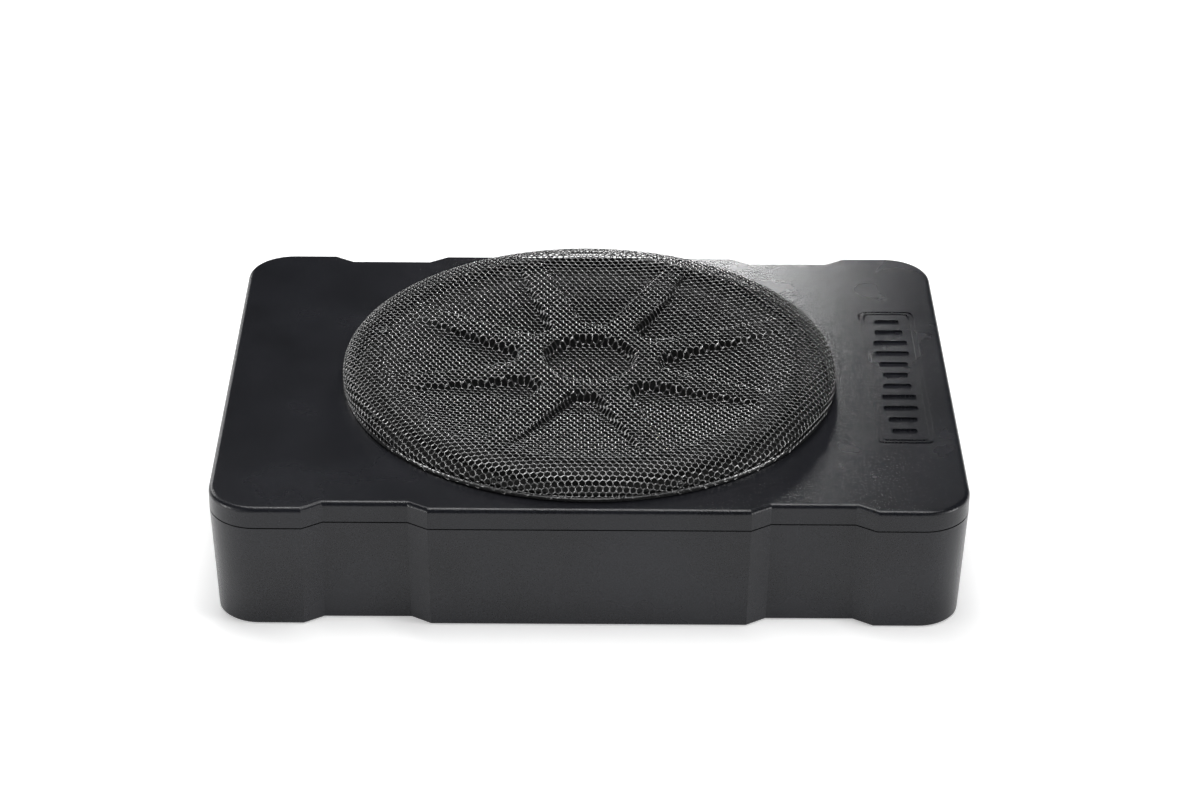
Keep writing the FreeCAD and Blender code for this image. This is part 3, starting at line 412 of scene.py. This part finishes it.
def punched_sheet(name, low, high, material):
    """Closed mesh of the strands between hexagonal holes: ridge, rim, wall and underside.
    A strand gets a point at its middle only where the pressed sheet bends sharply."""
    centres = np.stack(hole_centres(low, high), axis=1)[:, None, :]
    ridge = centres + hexagon(HOLE_PITCH / math.sqrt(3))
    hole = (centres + hexagon((HOLE_PITCH - STRAND) / math.sqrt(3))).reshape(-1, 2)
    keys = np.round(ridge.reshape(-1, 2) / (HOLE_PITCH * 0.02)).astype(int)
    _, first, shared = np.unique(keys, axis=0, return_index=True, return_inverse=True)
    shared = shared.reshape(-1, 12)
    ridge = ridge.reshape(-1, 2)[first]
    placed = on_sheet(*ridge.T)
    corners, middles = shared[:, 0::2], shared[:, 1::2]
    chord = 0.5 * (placed[corners] + placed[np.roll(corners, -1, axis=1)])
    bent = np.zeros(len(ridge), bool)
    bent[middles] = np.linalg.norm(placed[middles] - chord, axis=-1) > BENT
    split = bent[middles]

    rim = SHEET * 0.30
    points = np.concatenate([
        sheet_points(*ridge.T, SHEET / 2), sheet_points(*hole.T, rim),
        sheet_points(*hole.T, -rim), sheet_points(*ridge.T, -SHEET / 2)])
    upper = len(ridge) + np.arange(len(hole)).reshape(-1, 12)
    rings = [shared, upper, upper + len(hole), shared + len(ridge) + 2 * len(hole)]
    faces = []
    for outer, inner in zip(rings, rings[1:]):
        for side in range(6):
            start, middle, end = 2 * side, 2 * side + 1, (2 * side + 2) % 12
            for a, b, rows in ((start, end, ~split[:, side]), (start, middle, split[:, side]),
                               (middle, end, split[:, side])):
                faces.append(np.stack([outer[rows, a], outer[rows, b],
                                       inner[rows, b], inner[rows, a]], axis=1))
    used, faces = np.unique(np.concatenate(faces), return_inverse=True)
    return new_piece(name, points[used].tolist(), faces.reshape(-1, 4).tolist(), material)


def dipped_black():
    """Semi-gloss black dip: thicker and shinier in places, with a fine orange peel."""
    material, tree, shader = new_material("dipped_black")
    grain = use_group(tree, powder_grain, Grain=0.7, Mottle=1.2)
    tone = add_ramp(tree, grain.outputs["Tone"], ((0.1, 0.012), (0.9, 0.03)))
    tree.links.new(tone, shader.inputs["Base Color"])
    gloss = add_math(tree, "ADD", add_math(tree, "MULTIPLY", grain.outputs["Rough"], 0.12), 0.16)
    tree.links.new(gloss, shader.inputs["Roughness"])
    shader.inputs["Specular IOR Level"].default_value = 0.9
    shader.inputs["IOR"].default_value = 1.8
    use_bump(tree, shader, grain.outputs["Height"], 0.00006, 0.3)
    return material


def rolled_hem(material):
    """Edge of the sheet turned back on itself: a flattened roll with the holes showing faintly."""
    profile = []
    for k in range(14):
        angle = 2 * math.pi * k / 14
        out = HEM_HALF * math.cos(angle)
        lift = 0.5 * (HEM_TOP - HEM_FOOT) * math.copysign(abs(math.sin(angle)) ** 0.75, math.sin(angle))
        profile.append((GRILLE_RIM - HEM_HALF + out, 0.5 * (HEM_TOP + HEM_FOOT) + lift))
    points = []
    faces = []
    sides = len(profile)
    for step in range(HEM_STEPS):
        angle = 2 * math.pi * step / HEM_STEPS
        wave = HEM_WAVE * math.cos(angle * HEM_STEPS / 4)
        for k, (r, z) in enumerate(profile):
            reach = r + wave * (1 if r > GRILLE_RIM - 0.0006 else 0) - 0.0001
            points.append((reach * math.cos(angle), reach * math.sin(angle), z))
            after = (step + 1) % HEM_STEPS
            faces.append((step * sides + k, after * sides + k, after * sides + (k + 1) % sides,
                          step * sides + (k + 1) % sides))
    return new_piece("grille_hem", points, faces, material)


grille_black = dipped_black()
grille_crown = punched_sheet("grille_crown", 0.0, SHOULDER_R, grille_black)
grille_shoulder = punched_sheet("grille_shoulder", SHOULDER_R, SKIRT_R, grille_black)
grille_hem = rolled_hem(grille_black)
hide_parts("grille")
for piece in (grille_crown, grille_shoulder, grille_hem):
    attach(piece, "case")


# ---- Rings inside the grille ---------------------------------------------------------------------
# Two moulded nylon rings: the outer one carries the grille, the inner one covers the driver's
# flange and its screws. Moulded with a light spark texture.
def moulding(name, dark, light, rough, grain=0.6, shine=0.5):
    material, tree, shader = new_material(name)
    shader.inputs["Specular IOR Level"].default_value = shine
    texture = use_group(tree, powder_grain, Grain=grain, Mottle=0.6)
    tone = add_ramp(tree, texture.outputs["Tone"], ((0.15, dark), (0.85, light)))
    tree.links.new(tone, shader.inputs["Base Color"])
    gloss = add_math(tree, "ADD", add_math(tree, "MULTIPLY", texture.outputs["Rough"], 0.14), rough - 0.07)
    tree.links.new(gloss, shader.inputs["Roughness"])
    use_bump(tree, shader, texture.outputs["Height"], 0.00005, 0.35)
    return material


black_nylon = moulding("black_nylon", 0.003, 0.007, 0.7, shine=0.15)
paint(black_nylon, "grille_ring", "trim_ring")


# ---- Cone and dust cap ---------------------------------------------------------------------------
# The cone is felted paper pulp, pressed and dyed black; the cap is a satin moulding glued over
# the voice coil. Both are coloured darker than dye or moulding alone, as painted shade for the hollow under
# the grille. Fibres show as fine raised threads.
def paper_pulp():
    material, tree, shader = new_material("paper_pulp")
    place = tree.nodes.new("ShaderNodeTexCoord").outputs["Object"]
    fibre = add_node(tree, "ShaderNodeTexNoise", Scale=420.0, Detail=5.0, Distortion=2.5)
    tree.links.new(place, fibre.inputs["Vector"])
    # The near-black tone is partly the dyed pulp and partly painted shade of the hollow under the grille.
    tone = add_ramp(tree, fibre.outputs[0], ((0.35, 0.002), (0.7, 0.008)))
    tree.links.new(tone, shader.inputs["Base Color"])
    shader.inputs["Specular IOR Level"].default_value = 0.04
    rough = add_math(tree, "ADD", add_math(tree, "MULTIPLY", fibre.outputs[0], 0.1), 0.75)
    tree.links.new(rough, shader.inputs["Roughness"])
    use_bump(tree, shader, fibre.outputs[0], 0.0002, 0.5)
    return material


paint(paper_pulp(), "cone")
# The cap's near-black is partly its own black moulding and partly painted shade under the grille.
cap_black_with_painted_shade = moulding("cap_black_with_painted_shade", 0.002, 0.005, 0.8, 0.5, shine=0.06)
paint(cap_black_with_painted_shade, "dust_cap")


# ---- Surround ------------------------------------------------------------------------------------
# Half-roll edge of butyl rubber between the cone and the basket. Its inner land is glued to the
# cone and its outer land to the flange; in the real driver the roll bends as the cone moves, here it is one
# fixed ring.
FLANGE_TOP = 0.0629
ROLL_INNER = 0.0865
ROLL_OUTER = 0.1075
ROLL_CENTRE = 0.098
ROLL_HALF = 0.0072
ROLL_RISE = 0.0057


def revolved(name, profile, turns, material):
    """Closed ring from a loop of (radius, height) points; returns the mesh object."""
    count = len(profile)
    points = []
    faces = []
    for step in range(turns):
        angle = 2 * math.pi * step / turns
        points += [(r * math.cos(angle), r * math.sin(angle), z) for r, z in profile]
        after = (step + 1) % turns
        for k in range(count):
            ahead = (k + 1) % count
            faces.append((step * count + k, after * count + k, after * count + ahead, step * count + ahead))
    return new_piece(name, points, faces, material)


def thick_profile(line, skin):
    """Loop of points around a line of (radius, height) points: the line and its copy above it."""
    return list(line) + [(r, z + skin) for r, z in reversed(line)]


def bend_radially(piece):
    """Bakes the ring's placement into its mesh."""
    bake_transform(piece)


def half_roll():
    low = FLANGE_TOP
    line = [(ROLL_INNER, low), (0.0885, low), (0.0904, low + 0.0001)]
    for k in range(1, 16):
        angle = math.pi * k / 16
        line.append((ROLL_CENTRE - ROLL_HALF * math.cos(angle), low + ROLL_RISE * math.sin(angle)))
    line += [(0.1056, low + 0.0001), (ROLL_OUTER, low), (0.112, low)]
    return thick_profile(line, 0.0008)


def rubber(name, tone_low, tone_high):
    material, tree, shader = new_material(name)
    texture = use_group(tree, powder_grain, Grain=0.5, Mottle=1.6)
    tone = add_ramp(tree, texture.outputs["Tone"], ((0.2, tone_low), (0.8, tone_high)))
    tree.links.new(tone, shader.inputs["Base Color"])
    shader.inputs["Specular IOR Level"].default_value = 0.2
    gloss = add_math(tree, "ADD", add_math(tree, "MULTIPLY", texture.outputs["Rough"], 0.2), 0.6)
    tree.links.new(gloss, shader.inputs["Roughness"])
    use_bump(tree, shader, texture.outputs["Height"], 0.00004, 0.3)
    return material


butyl = rubber("butyl_rubber", 0.003, 0.009)
surround = revolved("surround_roll", half_roll(), 192, butyl)
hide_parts("surround")
bend_radially(surround)


# ---- Spider --------------------------------------------------------------------------------------
# Corrugated disc of open cotton weave, stiffened with amber resin. Glued to the voice coil
# former inside and to the basket's ledge outside; in the real driver it flexes as the cone travels, here it
# is one fixed ring.
SPIDER_Z = 0.0415
SPIDER_INNER = 0.0257
SPIDER_LAND = 0.0595
SPIDER_RIM = 0.068
SPIDER_WAVES = 6


def resin_cloth():
    material, tree, shader = new_material("resin_cloth")
    place = tree.nodes.new("ShaderNodeTexCoord").outputs["Object"]
    split = tree.nodes.new("ShaderNodeSeparateXYZ")
    tree.links.new(place, split.inputs[0])
    warp = add_math(tree, "SINE", add_math(tree, "MULTIPLY", split.outputs[0], 7800.0))
    weft = add_math(tree, "SINE", add_math(tree, "MULTIPLY", split.outputs[1], 7800.0))
    weave = add_math(tree, "MULTIPLY", warp, weft)
    blot = add_node(tree, "ShaderNodeTexNoise", Scale=60.0, Detail=3.0)
    tree.links.new(place, blot.inputs["Vector"])
    mixed = add_math(tree, "ADD", add_math(tree, "MULTIPLY", weave, 0.25), blot.outputs[0])
    tone = add_ramp(tree, mixed, ((0.2, (0.22, 0.13, 0.035)), (0.8, (0.52, 0.36, 0.14))))
    tree.links.new(tone, shader.inputs["Base Color"])
    shader.inputs["Roughness"].default_value = 0.62
    use_bump(tree, shader, weave, 0.00012, 0.6)
    return material


def corrugations():
    start = SPIDER_INNER + 0.002
    line = [(SPIDER_INNER, SPIDER_Z)]
    for k in range(SPIDER_WAVES * 8 + 1):
        turn = k / 8
        line.append((start + (SPIDER_LAND - start) * turn / SPIDER_WAVES,
                     SPIDER_Z + 0.001 * math.sin(2 * math.pi * turn)))
    line.append((SPIDER_RIM, SPIDER_Z))
    return thick_profile(line, 0.0006)


spider = revolved("spider_disc", corrugations(), 144, resin_cloth())
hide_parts("spider")
bend_radially(spider)


# ---- Basket and gaskets --------------------------------------------------------------------------
# Cast frame of the driver in thin black paint, on a strip of closed-cell foam; a cord of the
# same foam lies in the joint between tub and cover.
basket_paint = powder_coat("basket_paint", (0.012, 0.012, 0.0125), (0.03, 0.03, 0.031), 0.42, 0.35)
foam = rubber("foam_strip", 0.008, 0.022)
paint(basket_paint, "driver_basket")
paint(foam, "basket_gasket", "cover_gasket")


# ---- Motor ---------------------------------------------------------------------------------------
# Pole piece and top plate are turned steel, zinc plated; the magnet between them is pressed and
# ground ferrite. The coil is enamelled copper on an amber film tube.
def make_turned_rings():
    group, start, end = new_group(
        "turned_rings", [("Density", 2600.0)],
        [("Tone", "NodeSocketFloat"), ("Rough", "NodeSocketFloat"), ("Height", "NodeSocketFloat")])
    place = group.nodes.new("ShaderNodeTexCoord").outputs["Object"]
    split = group.nodes.new("ShaderNodeSeparateXYZ")
    group.links.new(place, split.inputs[0])
    squares = [add_math(group, "MULTIPLY", split.outputs[k], split.outputs[k]) for k in (0, 1)]
    radius = add_math(group, "SQRT", add_math(group, "ADD", *squares))
    line = add_node(group, "ShaderNodeTexNoise", noise_dimensions="1D", Detail=2.0, Scale=1.0)
    across = add_math(group, "ADD", radius, add_math(group, "MULTIPLY", split.outputs[2], 0.7))
    group.links.new(add_math(group, "MULTIPLY", across, start.outputs["Density"]), line.inputs["W"])
    stain = add_node(group, "ShaderNodeTexNoise", Scale=45.0, Detail=4.0)
    group.links.new(place, stain.inputs["Vector"])
    group.links.new(line.outputs[0], end.inputs["Height"])
    group.links.new(stain.outputs[0], end.inputs["Tone"])
    group.links.new(add_math(group, "ADD", add_math(group, "MULTIPLY", line.outputs[0], 0.2),
                             stain.outputs[0]),
                    end.inputs["Rough"])
    return group


turned_rings = make_turned_rings()


def turned_metal(name, dark, light, rough, density=2600.0):
    material, tree, shader = new_material(name)
    rings = use_group(tree, turned_rings, Density=density)
    tone = add_ramp(tree, rings.outputs["Tone"], ((0.3, dark), (0.7, light)))
    tree.links.new(tone, shader.inputs["Base Color"])
    shader.inputs["Metallic"].default_value = 1.0
    gloss = add_math(tree, "ADD", add_math(tree, "MULTIPLY", rings.outputs["Rough"], 0.12), rough - 0.06)
    tree.links.new(gloss, shader.inputs["Roughness"])
    use_bump(tree, shader, rings.outputs["Height"], 0.00003, 0.4)
    return material


def grained_metal(name, dark, light, rough, grain=0.8, bump=0.25):
    """Cast, sawn or plated metal with an even fine grain."""
    material, tree, shader = new_material(name)
    texture = use_group(tree, powder_grain, Grain=grain, Mottle=0.8)
    tone = add_ramp(tree, texture.outputs["Tone"], ((0.2, dark), (0.8, light)))
    tree.links.new(tone, shader.inputs["Base Color"])
    shader.inputs["Metallic"].default_value = 1.0
    gloss = add_math(tree, "ADD", add_math(tree, "MULTIPLY", texture.outputs["Rough"], 0.16), rough - 0.08)
    tree.links.new(gloss, shader.inputs["Roughness"])
    use_bump(tree, shader, texture.outputs["Height"], 0.00003, bump)
    return material


def coil_wire(name, dark, light, spacing):
    """Close-wound enamelled wire: bands that run around the Z axis at the wire's pitch."""
    material, tree, shader = new_material(name)
    place = tree.nodes.new("ShaderNodeTexCoord").outputs["Object"]
    split = tree.nodes.new("ShaderNodeSeparateXYZ")
    tree.links.new(place, split.inputs[0])
    band = add_math(tree, "SINE", add_math(tree, "MULTIPLY", split.outputs[2], 2 * math.pi / spacing))
    blot = add_node(tree, "ShaderNodeTexNoise", Scale=200.0)
    tree.links.new(place, blot.inputs["Vector"])
    mixed = add_math(tree, "ADD", add_math(tree, "MULTIPLY", band, 0.3), blot.outputs[0])
    tone = add_ramp(tree, mixed, ((0.2, dark), (0.8, light)))
    tree.links.new(tone, shader.inputs["Base Color"])
    shader.inputs["Metallic"].default_value = 0.9
    shader.inputs["Roughness"].default_value = 0.32
    shader.inputs["Coat Weight"].default_value = 0.5
    use_bump(tree, shader, band, 0.0001, 0.7)
    return material


zinc_steel = turned_metal("zinc_steel", (0.36, 0.36, 0.38), (0.56, 0.56, 0.56), 0.34)
ferrite = moulding("ground_ferrite", 0.02, 0.045, 0.55, 0.4)
copper_coil = coil_wire("copper_coil", (0.34, 0.12, 0.04), (0.72, 0.30, 0.12), 0.0006)
paint(zinc_steel, "pole_piece", "top_plate")
paint(ferrite, "magnet")
paint(copper_coil, "voice_coil_winding")


def amber_film():
    material, tree, shader = new_material("amber_film")
    texture = use_group(tree, powder_grain, Grain=0.3, Mottle=2.0)
    tone = add_ramp(tree, texture.outputs["Tone"], ((0.2, (0.36, 0.13, 0.02)), (0.8, (0.55, 0.24, 0.05))))
    tree.links.new(tone, shader.inputs["Base Color"])
    shader.inputs["Roughness"].default_value = 0.25
    shader.inputs["Coat Weight"].default_value = 0.4
    return material


paint(amber_film(), "voice_coil_former")


# ---- Driver terminals and wires ------------------------------------------------------------------
# A strip of laminate riveted to the basket carries two tinned lugs. Braided copper leads run
# from them to the cone, with slack to follow its travel, and two insulated wires go down to a
# nylon header on the board.
def braid():
    material, tree, shader = new_material("copper_braid")
    place = tree.nodes.new("ShaderNodeTexCoord").outputs["Object"]
    strands = add_node(tree, "ShaderNodeTexWave", Scale=900.0, Distortion=1.5, bands_direction="DIAGONAL")
    tree.links.new(place, strands.inputs["Vector"])
    tone = add_ramp(tree, strands.outputs[1], ((0.1, (0.30, 0.12, 0.05)), (0.9, (0.85, 0.46, 0.24))))
    tree.links.new(tone, shader.inputs["Base Color"])
    shader.inputs["Metallic"].default_value = 1.0
    shader.inputs["Roughness"].default_value = 0.4
    use_bump(tree, shader, strands.outputs[1], 0.00008, 0.8)
    return material


def lead_tube(name, route, radius, material, sides=10, steps=48):
    """Round lead through points, on one smooth curve."""
    route = [Vector(p) for p in route]
    ends = [2 * route[0] - route[1]] + route + [2 * route[-1] - route[-2]]
    line = []
    for before, a, b, after in zip(ends, ends[1:], ends[2:], ends[3:]):
        for k in range(steps // (len(route) - 1)):
            t = k * (len(route) - 1) / steps
            line.append(0.5 * (2 * a + (b - before) * t + (2 * before - 5 * a + 4 * b - after) * t ** 2
                               + (3 * a - before - 3 * b + after) * t ** 3))
    line.append(route[-1])
    points = []
    faces = []
    for k, place in enumerate(line):
        along = (line[min(k + 1, len(line) - 1)] - line[max(k - 1, 0)]).normalized()
        side = along.cross(Vector((0, 1, 0))).normalized()
        top = along.cross(side)
        for j in range(sides):
            angle = 2 * math.pi * j / sides
            points.append(place + radius * (side * math.cos(angle) + top * math.sin(angle)))
    for k in range(len(line) - 1):
        for j in range(sides):
            a, b = k * sides + j, k * sides + (j + 1) % sides
            faces.append((a, b, b + sides, a + sides))
    faces.append(tuple(range(sides))[::-1])
    faces.append(tuple(range(len(points) - sides, len(points))))
    return new_piece(name, points, faces, material)


copper_braid = braid()
for side, y in (("front", -0.008), ("rear", 0.008)):
    route = [(-0.036, y, 0.0452), (-0.056, y, 0.0464), (-0.076, y, 0.0454),
             (-0.090, y, 0.0466), (-0.1022, y, 0.046)]
    lead = lead_tube("tinsel_lead_" + side, route, 0.0006, copper_braid)
    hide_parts("tinsel_leads")
    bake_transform(lead)

laminate = moulding("black_laminate", 0.012, 0.028, 0.45)
tinned = grained_metal("tinned_brass", 0.5, 0.72, 0.3)
nylon_white = moulding("natural_nylon", (0.50, 0.48, 0.40), (0.62, 0.60, 0.52), 0.45)
black_pvc = rubber("black_pvc", 0.010, 0.022)
paint(laminate, "terminal_strip")
paint(tinned, "terminal_lugs")
paint(nylon_white, "speaker_header")
paint(black_pvc, "speaker_wires")


# ---- Circuit board -------------------------------------------------------------------------------
# Glass-epoxy board under green solder mask: the tracks stand out as slightly lighter, raised
# lanes. Chips, transistors and the sleeves of the capacitors are black mouldings.
def solder_mask():
    material, tree, shader = new_material("solder_mask")
    place = tree.nodes.new("ShaderNodeTexCoord").outputs["Object"]
    lanes = add_node(tree, "ShaderNodeTexBrick", Scale=95.0, Mortar_Size=0.035, Mortar_Smooth=0.1, Bias=0.0)
    tree.links.new(place, lanes.inputs["Vector"])
    glass = add_node(tree, "ShaderNodeTexNoise", Scale=900.0, Detail=2.0)
    tree.links.new(place, glass.inputs["Vector"])
    mixed = add_math(tree, "ADD", add_math(tree, "MULTIPLY", lanes.outputs[1], 0.6),
                     add_math(tree, "MULTIPLY", glass.outputs[0], 0.3))
    tone = add_ramp(tree, mixed, ((0.1, (0.010, 0.085, 0.028)), (0.8, (0.035, 0.20, 0.075))))
    tree.links.new(tone, shader.inputs["Base Color"])
    shader.inputs["Roughness"].default_value = 0.28
    use_bump(tree, shader, lanes.outputs[1], 0.00008, 0.5)
    return material


chip_mould = moulding("chip_mould", 0.014, 0.026, 0.42)
paint(solder_mask(), "circuit_board")
paint(chip_mould, "control_chips", "power_transistors", "potentiometers", "switch_bodies")


# ---- Capacitors ----------------------------------------------------------------------------------
# Aluminium cans in shrunk dark sleeves; the sleeve stops short of the top, which stays bare
# metal. Five stand upright on the board.
def can_sleeve():
    material, tree, shader = new_material("can_sleeve")
    place = tree.nodes.new("ShaderNodeTexCoord").outputs["Object"]
    facing = tree.nodes.new("ShaderNodeNewGeometry")
    split = tree.nodes.new("ShaderNodeSeparateXYZ")
    tree.links.new(facing.outputs["Normal"], split.inputs[0])
    top = add_ramp(tree, split.outputs[2], ((0.9, 0.0), (0.97, 1.0)))
    wrinkle = add_node(tree, "ShaderNodeTexNoise", Scale=160.0, Detail=3.0)
    tree.links.new(place, wrinkle.inputs["Vector"])
    mix = tree.nodes.new("ShaderNodeMix")
    mix.data_type = "RGBA"
    tree.links.new(top, mix.inputs["Factor"])
    sleeve = add_ramp(tree, wrinkle.outputs[0], ((0.3, (0.012, 0.012, 0.022)), (0.7, (0.022, 0.022, 0.04))))
    bare = add_ramp(tree, wrinkle.outputs[0], ((0.3, 0.55), (0.7, 0.75)))
    tree.links.new(sleeve, mix.inputs["A"])
    tree.links.new(bare, mix.inputs["B"])
    tree.links.new(mix.outputs["Result"], shader.inputs["Base Color"])
    tree.links.new(top, shader.inputs["Metallic"])
    shader.inputs["Roughness"].default_value = 0.3
    use_bump(tree, shader, wrinkle.outputs[0], 0.0001, 0.2)
    return material


paint(can_sleeve(), "capacitors")


# ---- Coils on the board --------------------------------------------------------------------------
# Pressed iron-powder cores in a tough yellow paint, wound with thick enamelled copper wire.
# One core is a ring and the other a bobbin.
core_paint = moulding("core_paint", (0.30, 0.26, 0.03), (0.42, 0.38, 0.06), 0.5)
thick_wire = grained_metal("enamelled_wire", (0.42, 0.16, 0.06), (0.70, 0.31, 0.13), 0.3, 0.3)
paint(core_paint, "toroid_core", "choke_core")
paint(thick_wire, "toroid_winding", "choke_winding")


# ---- Heat spreader -------------------------------------------------------------------------------
# Sawn bar of extruded aluminium that carries the transistors' heat into the tub's wall, with a
# folded steel bar that clamps them to it.
def sawn_aluminium():
    material, tree, shader = new_material("sawn_aluminium")
    place = tree.nodes.new("ShaderNodeTexCoord").outputs["Object"]
    stretch = add_node(tree, "ShaderNodeMapping", Scale=(60.0, 2400.0, 2400.0))
    tree.links.new(place, stretch.inputs["Vector"])
    lines = add_node(tree, "ShaderNodeTexNoise", Scale=1.0, Detail=3.0)
    tree.links.new(stretch.outputs[0], lines.inputs["Vector"])
    tone = add_ramp(tree, lines.outputs[0], ((0.3, 0.58), (0.7, 0.8)))
    tree.links.new(tone, shader.inputs["Base Color"])
    shader.inputs["Metallic"].default_value = 1.0
    shader.inputs["Roughness"].default_value = 0.36
    use_bump(tree, shader, lines.outputs[0], 0.00004, 0.4)
    return material


paint(sawn_aluminium(), "heat_spreader")
bright_zinc = grained_metal("bright_zinc", 0.42, 0.62, 0.3)
paint(bright_zinc, "clamp_bar", "clamp_screws", "spreader_screws", "board_screws")


# ---- Screws and inserts --------------------------------------------------------------------------
# Black-zinc pan-head screws hold the cover, the driver and the panel; the threaded inserts under
# the tub are turned brass.
black_zinc = grained_metal("black_zinc", 0.05, 0.11, 0.34)
insert_brass = turned_metal("insert_brass", (0.50, 0.34, 0.12), (0.72, 0.52, 0.22), 0.3)
paint(black_zinc, "cover_screws", "basket_screws", "panel_screws")
paint(insert_brass, "mounting_inserts")


# ---- Connection panel ----------------------------------------------------------------------------
# Punched steel sheet in matt black paint, with scale marks printed in pale grey: a ring of ticks
# around each knob and plain bars in place of words.
CONTROL_Z = 0.025
KNOB_Y = (0.029, 0.044, 0.059)
SWITCH_Y = (0.070, 0.0806)
POWER_Y = -0.073
SPEAKER_Y = -0.046
JACKS_Y = -0.016
REMOTE_Y = 0.010
TICKS = 11
TICK_STEP = 28
TICK_R = 0.0064
PRINT_LIFT = 0.00006


panel_paint = powder_coat("panel_paint", (0.011, 0.011, 0.0115), (0.026, 0.026, 0.027), 0.5, 0.3)
paint(panel_paint, "control_panel")


def print_marks():
    """Thin printed shapes on the panel, each a polygon given by (y, z) corners."""
    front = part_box("control_panel")[0].x
    points = []
    faces = []

    def shape(corners):
        start = len(points)
        for lift in (0.0, PRINT_LIFT):
            points.extend((front - lift, y, z) for y, z in corners)
        size = len(corners)
        faces.append(tuple(start + size + k for k in range(size)))
        for k in range(size):
            ahead = (k + 1) % size
            faces.append((start + k, start + ahead, start + size + ahead, start + size + k))

    def bar(y, z, half_y, half_z):
        shape([(y - half_y, z - half_z), (y + half_y, z - half_z),
               (y + half_y, z + half_z), (y - half_y, z + half_z)])

    for y in KNOB_Y:
        for k in range(TICKS):
            angle = math.radians(TICK_STEP * (k - TICKS // 2))
            long = 0.0011 if k % 5 == 0 else 0.0006
            out = Vector((math.sin(angle), math.cos(angle)))
            side = Vector((out.y, -out.x)) * 0.00014
            inner, outer = out * TICK_R, out * (TICK_R + long)
            middle = Vector((y, CONTROL_Z))
            shape([tuple(middle + inner - side), tuple(middle + inner + side),
                   tuple(middle + outer + side), tuple(middle + outer - side)])
        bar(y, CONTROL_Z + 0.0112, 0.0036, 0.00035)
    for y in SWITCH_Y:
        bar(y, CONTROL_Z + 0.0082, 0.0030, 0.00035)
    for y, width in ((POWER_Y, 0.008), (SPEAKER_Y, 0.005), (JACKS_Y, 0.006), (REMOTE_Y, 0.0035)):
        bar(y, CONTROL_Z + 0.0140, width, 0.00035)
        bar(y, CONTROL_Z + 0.0127, width * 0.6, 0.00025)
    return new_piece("panel_print", points, faces, ink(), smooth=False)


def ink():
    material, tree, shader = new_material("screen_ink")
    texture = use_group(tree, powder_grain, Grain=0.8, Mottle=0.6)
    tone = add_ramp(tree, texture.outputs["Tone"], ((0.2, 0.42), (0.8, 0.6)))
    tree.links.new(tone, shader.inputs["Base Color"])
    shader.inputs["Roughness"].default_value = 0.6
    return material


marks = print_marks()
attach(marks, "case")


# ---- Sockets -------------------------------------------------------------------------------------
# Power, speaker-level and remote sockets are black glass-filled mouldings; the first two have
# tinned brass pins. Each stands through its window in the panel.
socket_mould = moulding("socket_mould", 0.011, 0.022, 0.38)
paint(socket_mould, "power_socket", "speaker_input_socket", "remote_port")
paint(tinned, "power_pins", "speaker_input_pins")


# ---- Signal jacks --------------------------------------------------------------------------------
# Two coaxial jacks with gold-plated shells around moulded insulators, white on the left channel
# and red on the right.
plated = grained_metal("plated_shell", (0.62, 0.52, 0.30), (0.80, 0.70, 0.44), 0.2, 0.4)
white_mould = moulding("white_mould", (0.60, 0.60, 0.57), (0.72, 0.72, 0.69), 0.35)
red_mould = moulding("red_mould", (0.36, 0.012, 0.012), (0.48, 0.02, 0.018), 0.35)
paint(plated, "rca_shells")
paint(white_mould, "rca_insulator_left")
paint(red_mould, "rca_insulator_right")


# ---- Knobs and switches --------------------------------------------------------------------------
# Fluted black knobs pressed on nickel-plated shafts, with a pale line in each pointer groove, and
# two slide switches.
knob_mould = moulding("knob_mould", 0.012, 0.024, 0.4)
shaft_metal = turned_metal("nickel_shaft", (0.5, 0.48, 0.44), (0.66, 0.64, 0.6), 0.25)
paint(knob_mould, "gain_knob", "low_pass_knob", "bass_boost_knob", "phase_switch", "level_switch")
paint(shaft_metal, "gain_shaft", "low_pass_shaft", "bass_boost_shaft")


def pointer_line(name, knob, y):
    """Thin pale strip on the floor of the knob's pointer groove."""
    low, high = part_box(knob)
    floor = low.x + 0.0006
    reach = 0.5 * (high.z - low.z) - 0.0004
    points = [(x, y + side, CONTROL_Z + z) for x in (floor - 0.0001, floor)
              for side, z in ((-0.00038, 0.0015), (0.00038, 0.0015), (0.00038, reach), (-0.00038, reach))]
    faces = [(0, 3, 2, 1), (4, 5, 6, 7)] + [(k, (k + 1) % 4, 4 + (k + 1) % 4, 4 + k) for k in range(4)]
    return new_piece(name, points, faces, bpy.data.materials["screen_ink"], smooth=False)


for knob, body, y in (("gain_knob", "gain_control", KNOB_Y[0]),
                      ("low_pass_knob", "low_pass_control", KNOB_Y[1]),
                      ("bass_boost_knob", "bass_boost_control", KNOB_Y[2])):
    line = pointer_line(knob + "_line", knob, y)
    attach(line, body)


# ---- Status lamp ---------------------------------------------------------------------------------
# Small lens of blue-tinted plastic with a glossy skin, unlit, pushed through the panel from
# behind.
def tinted_lens():
    material, tree, shader = new_material("tinted_lens")
    texture = use_group(tree, powder_grain, Grain=0.3, Mottle=0.5)
    tone = add_ramp(tree, texture.outputs["Tone"], ((0.2, (0.03, 0.10, 0.38)), (0.8, (0.05, 0.16, 0.5))))
    tree.links.new(tone, shader.inputs["Base Color"])
    shader.inputs["Roughness"].default_value = 0.12
    shader.inputs["Coat Weight"].default_value = 0.6
    return material


paint(tinted_lens(), "status_led")
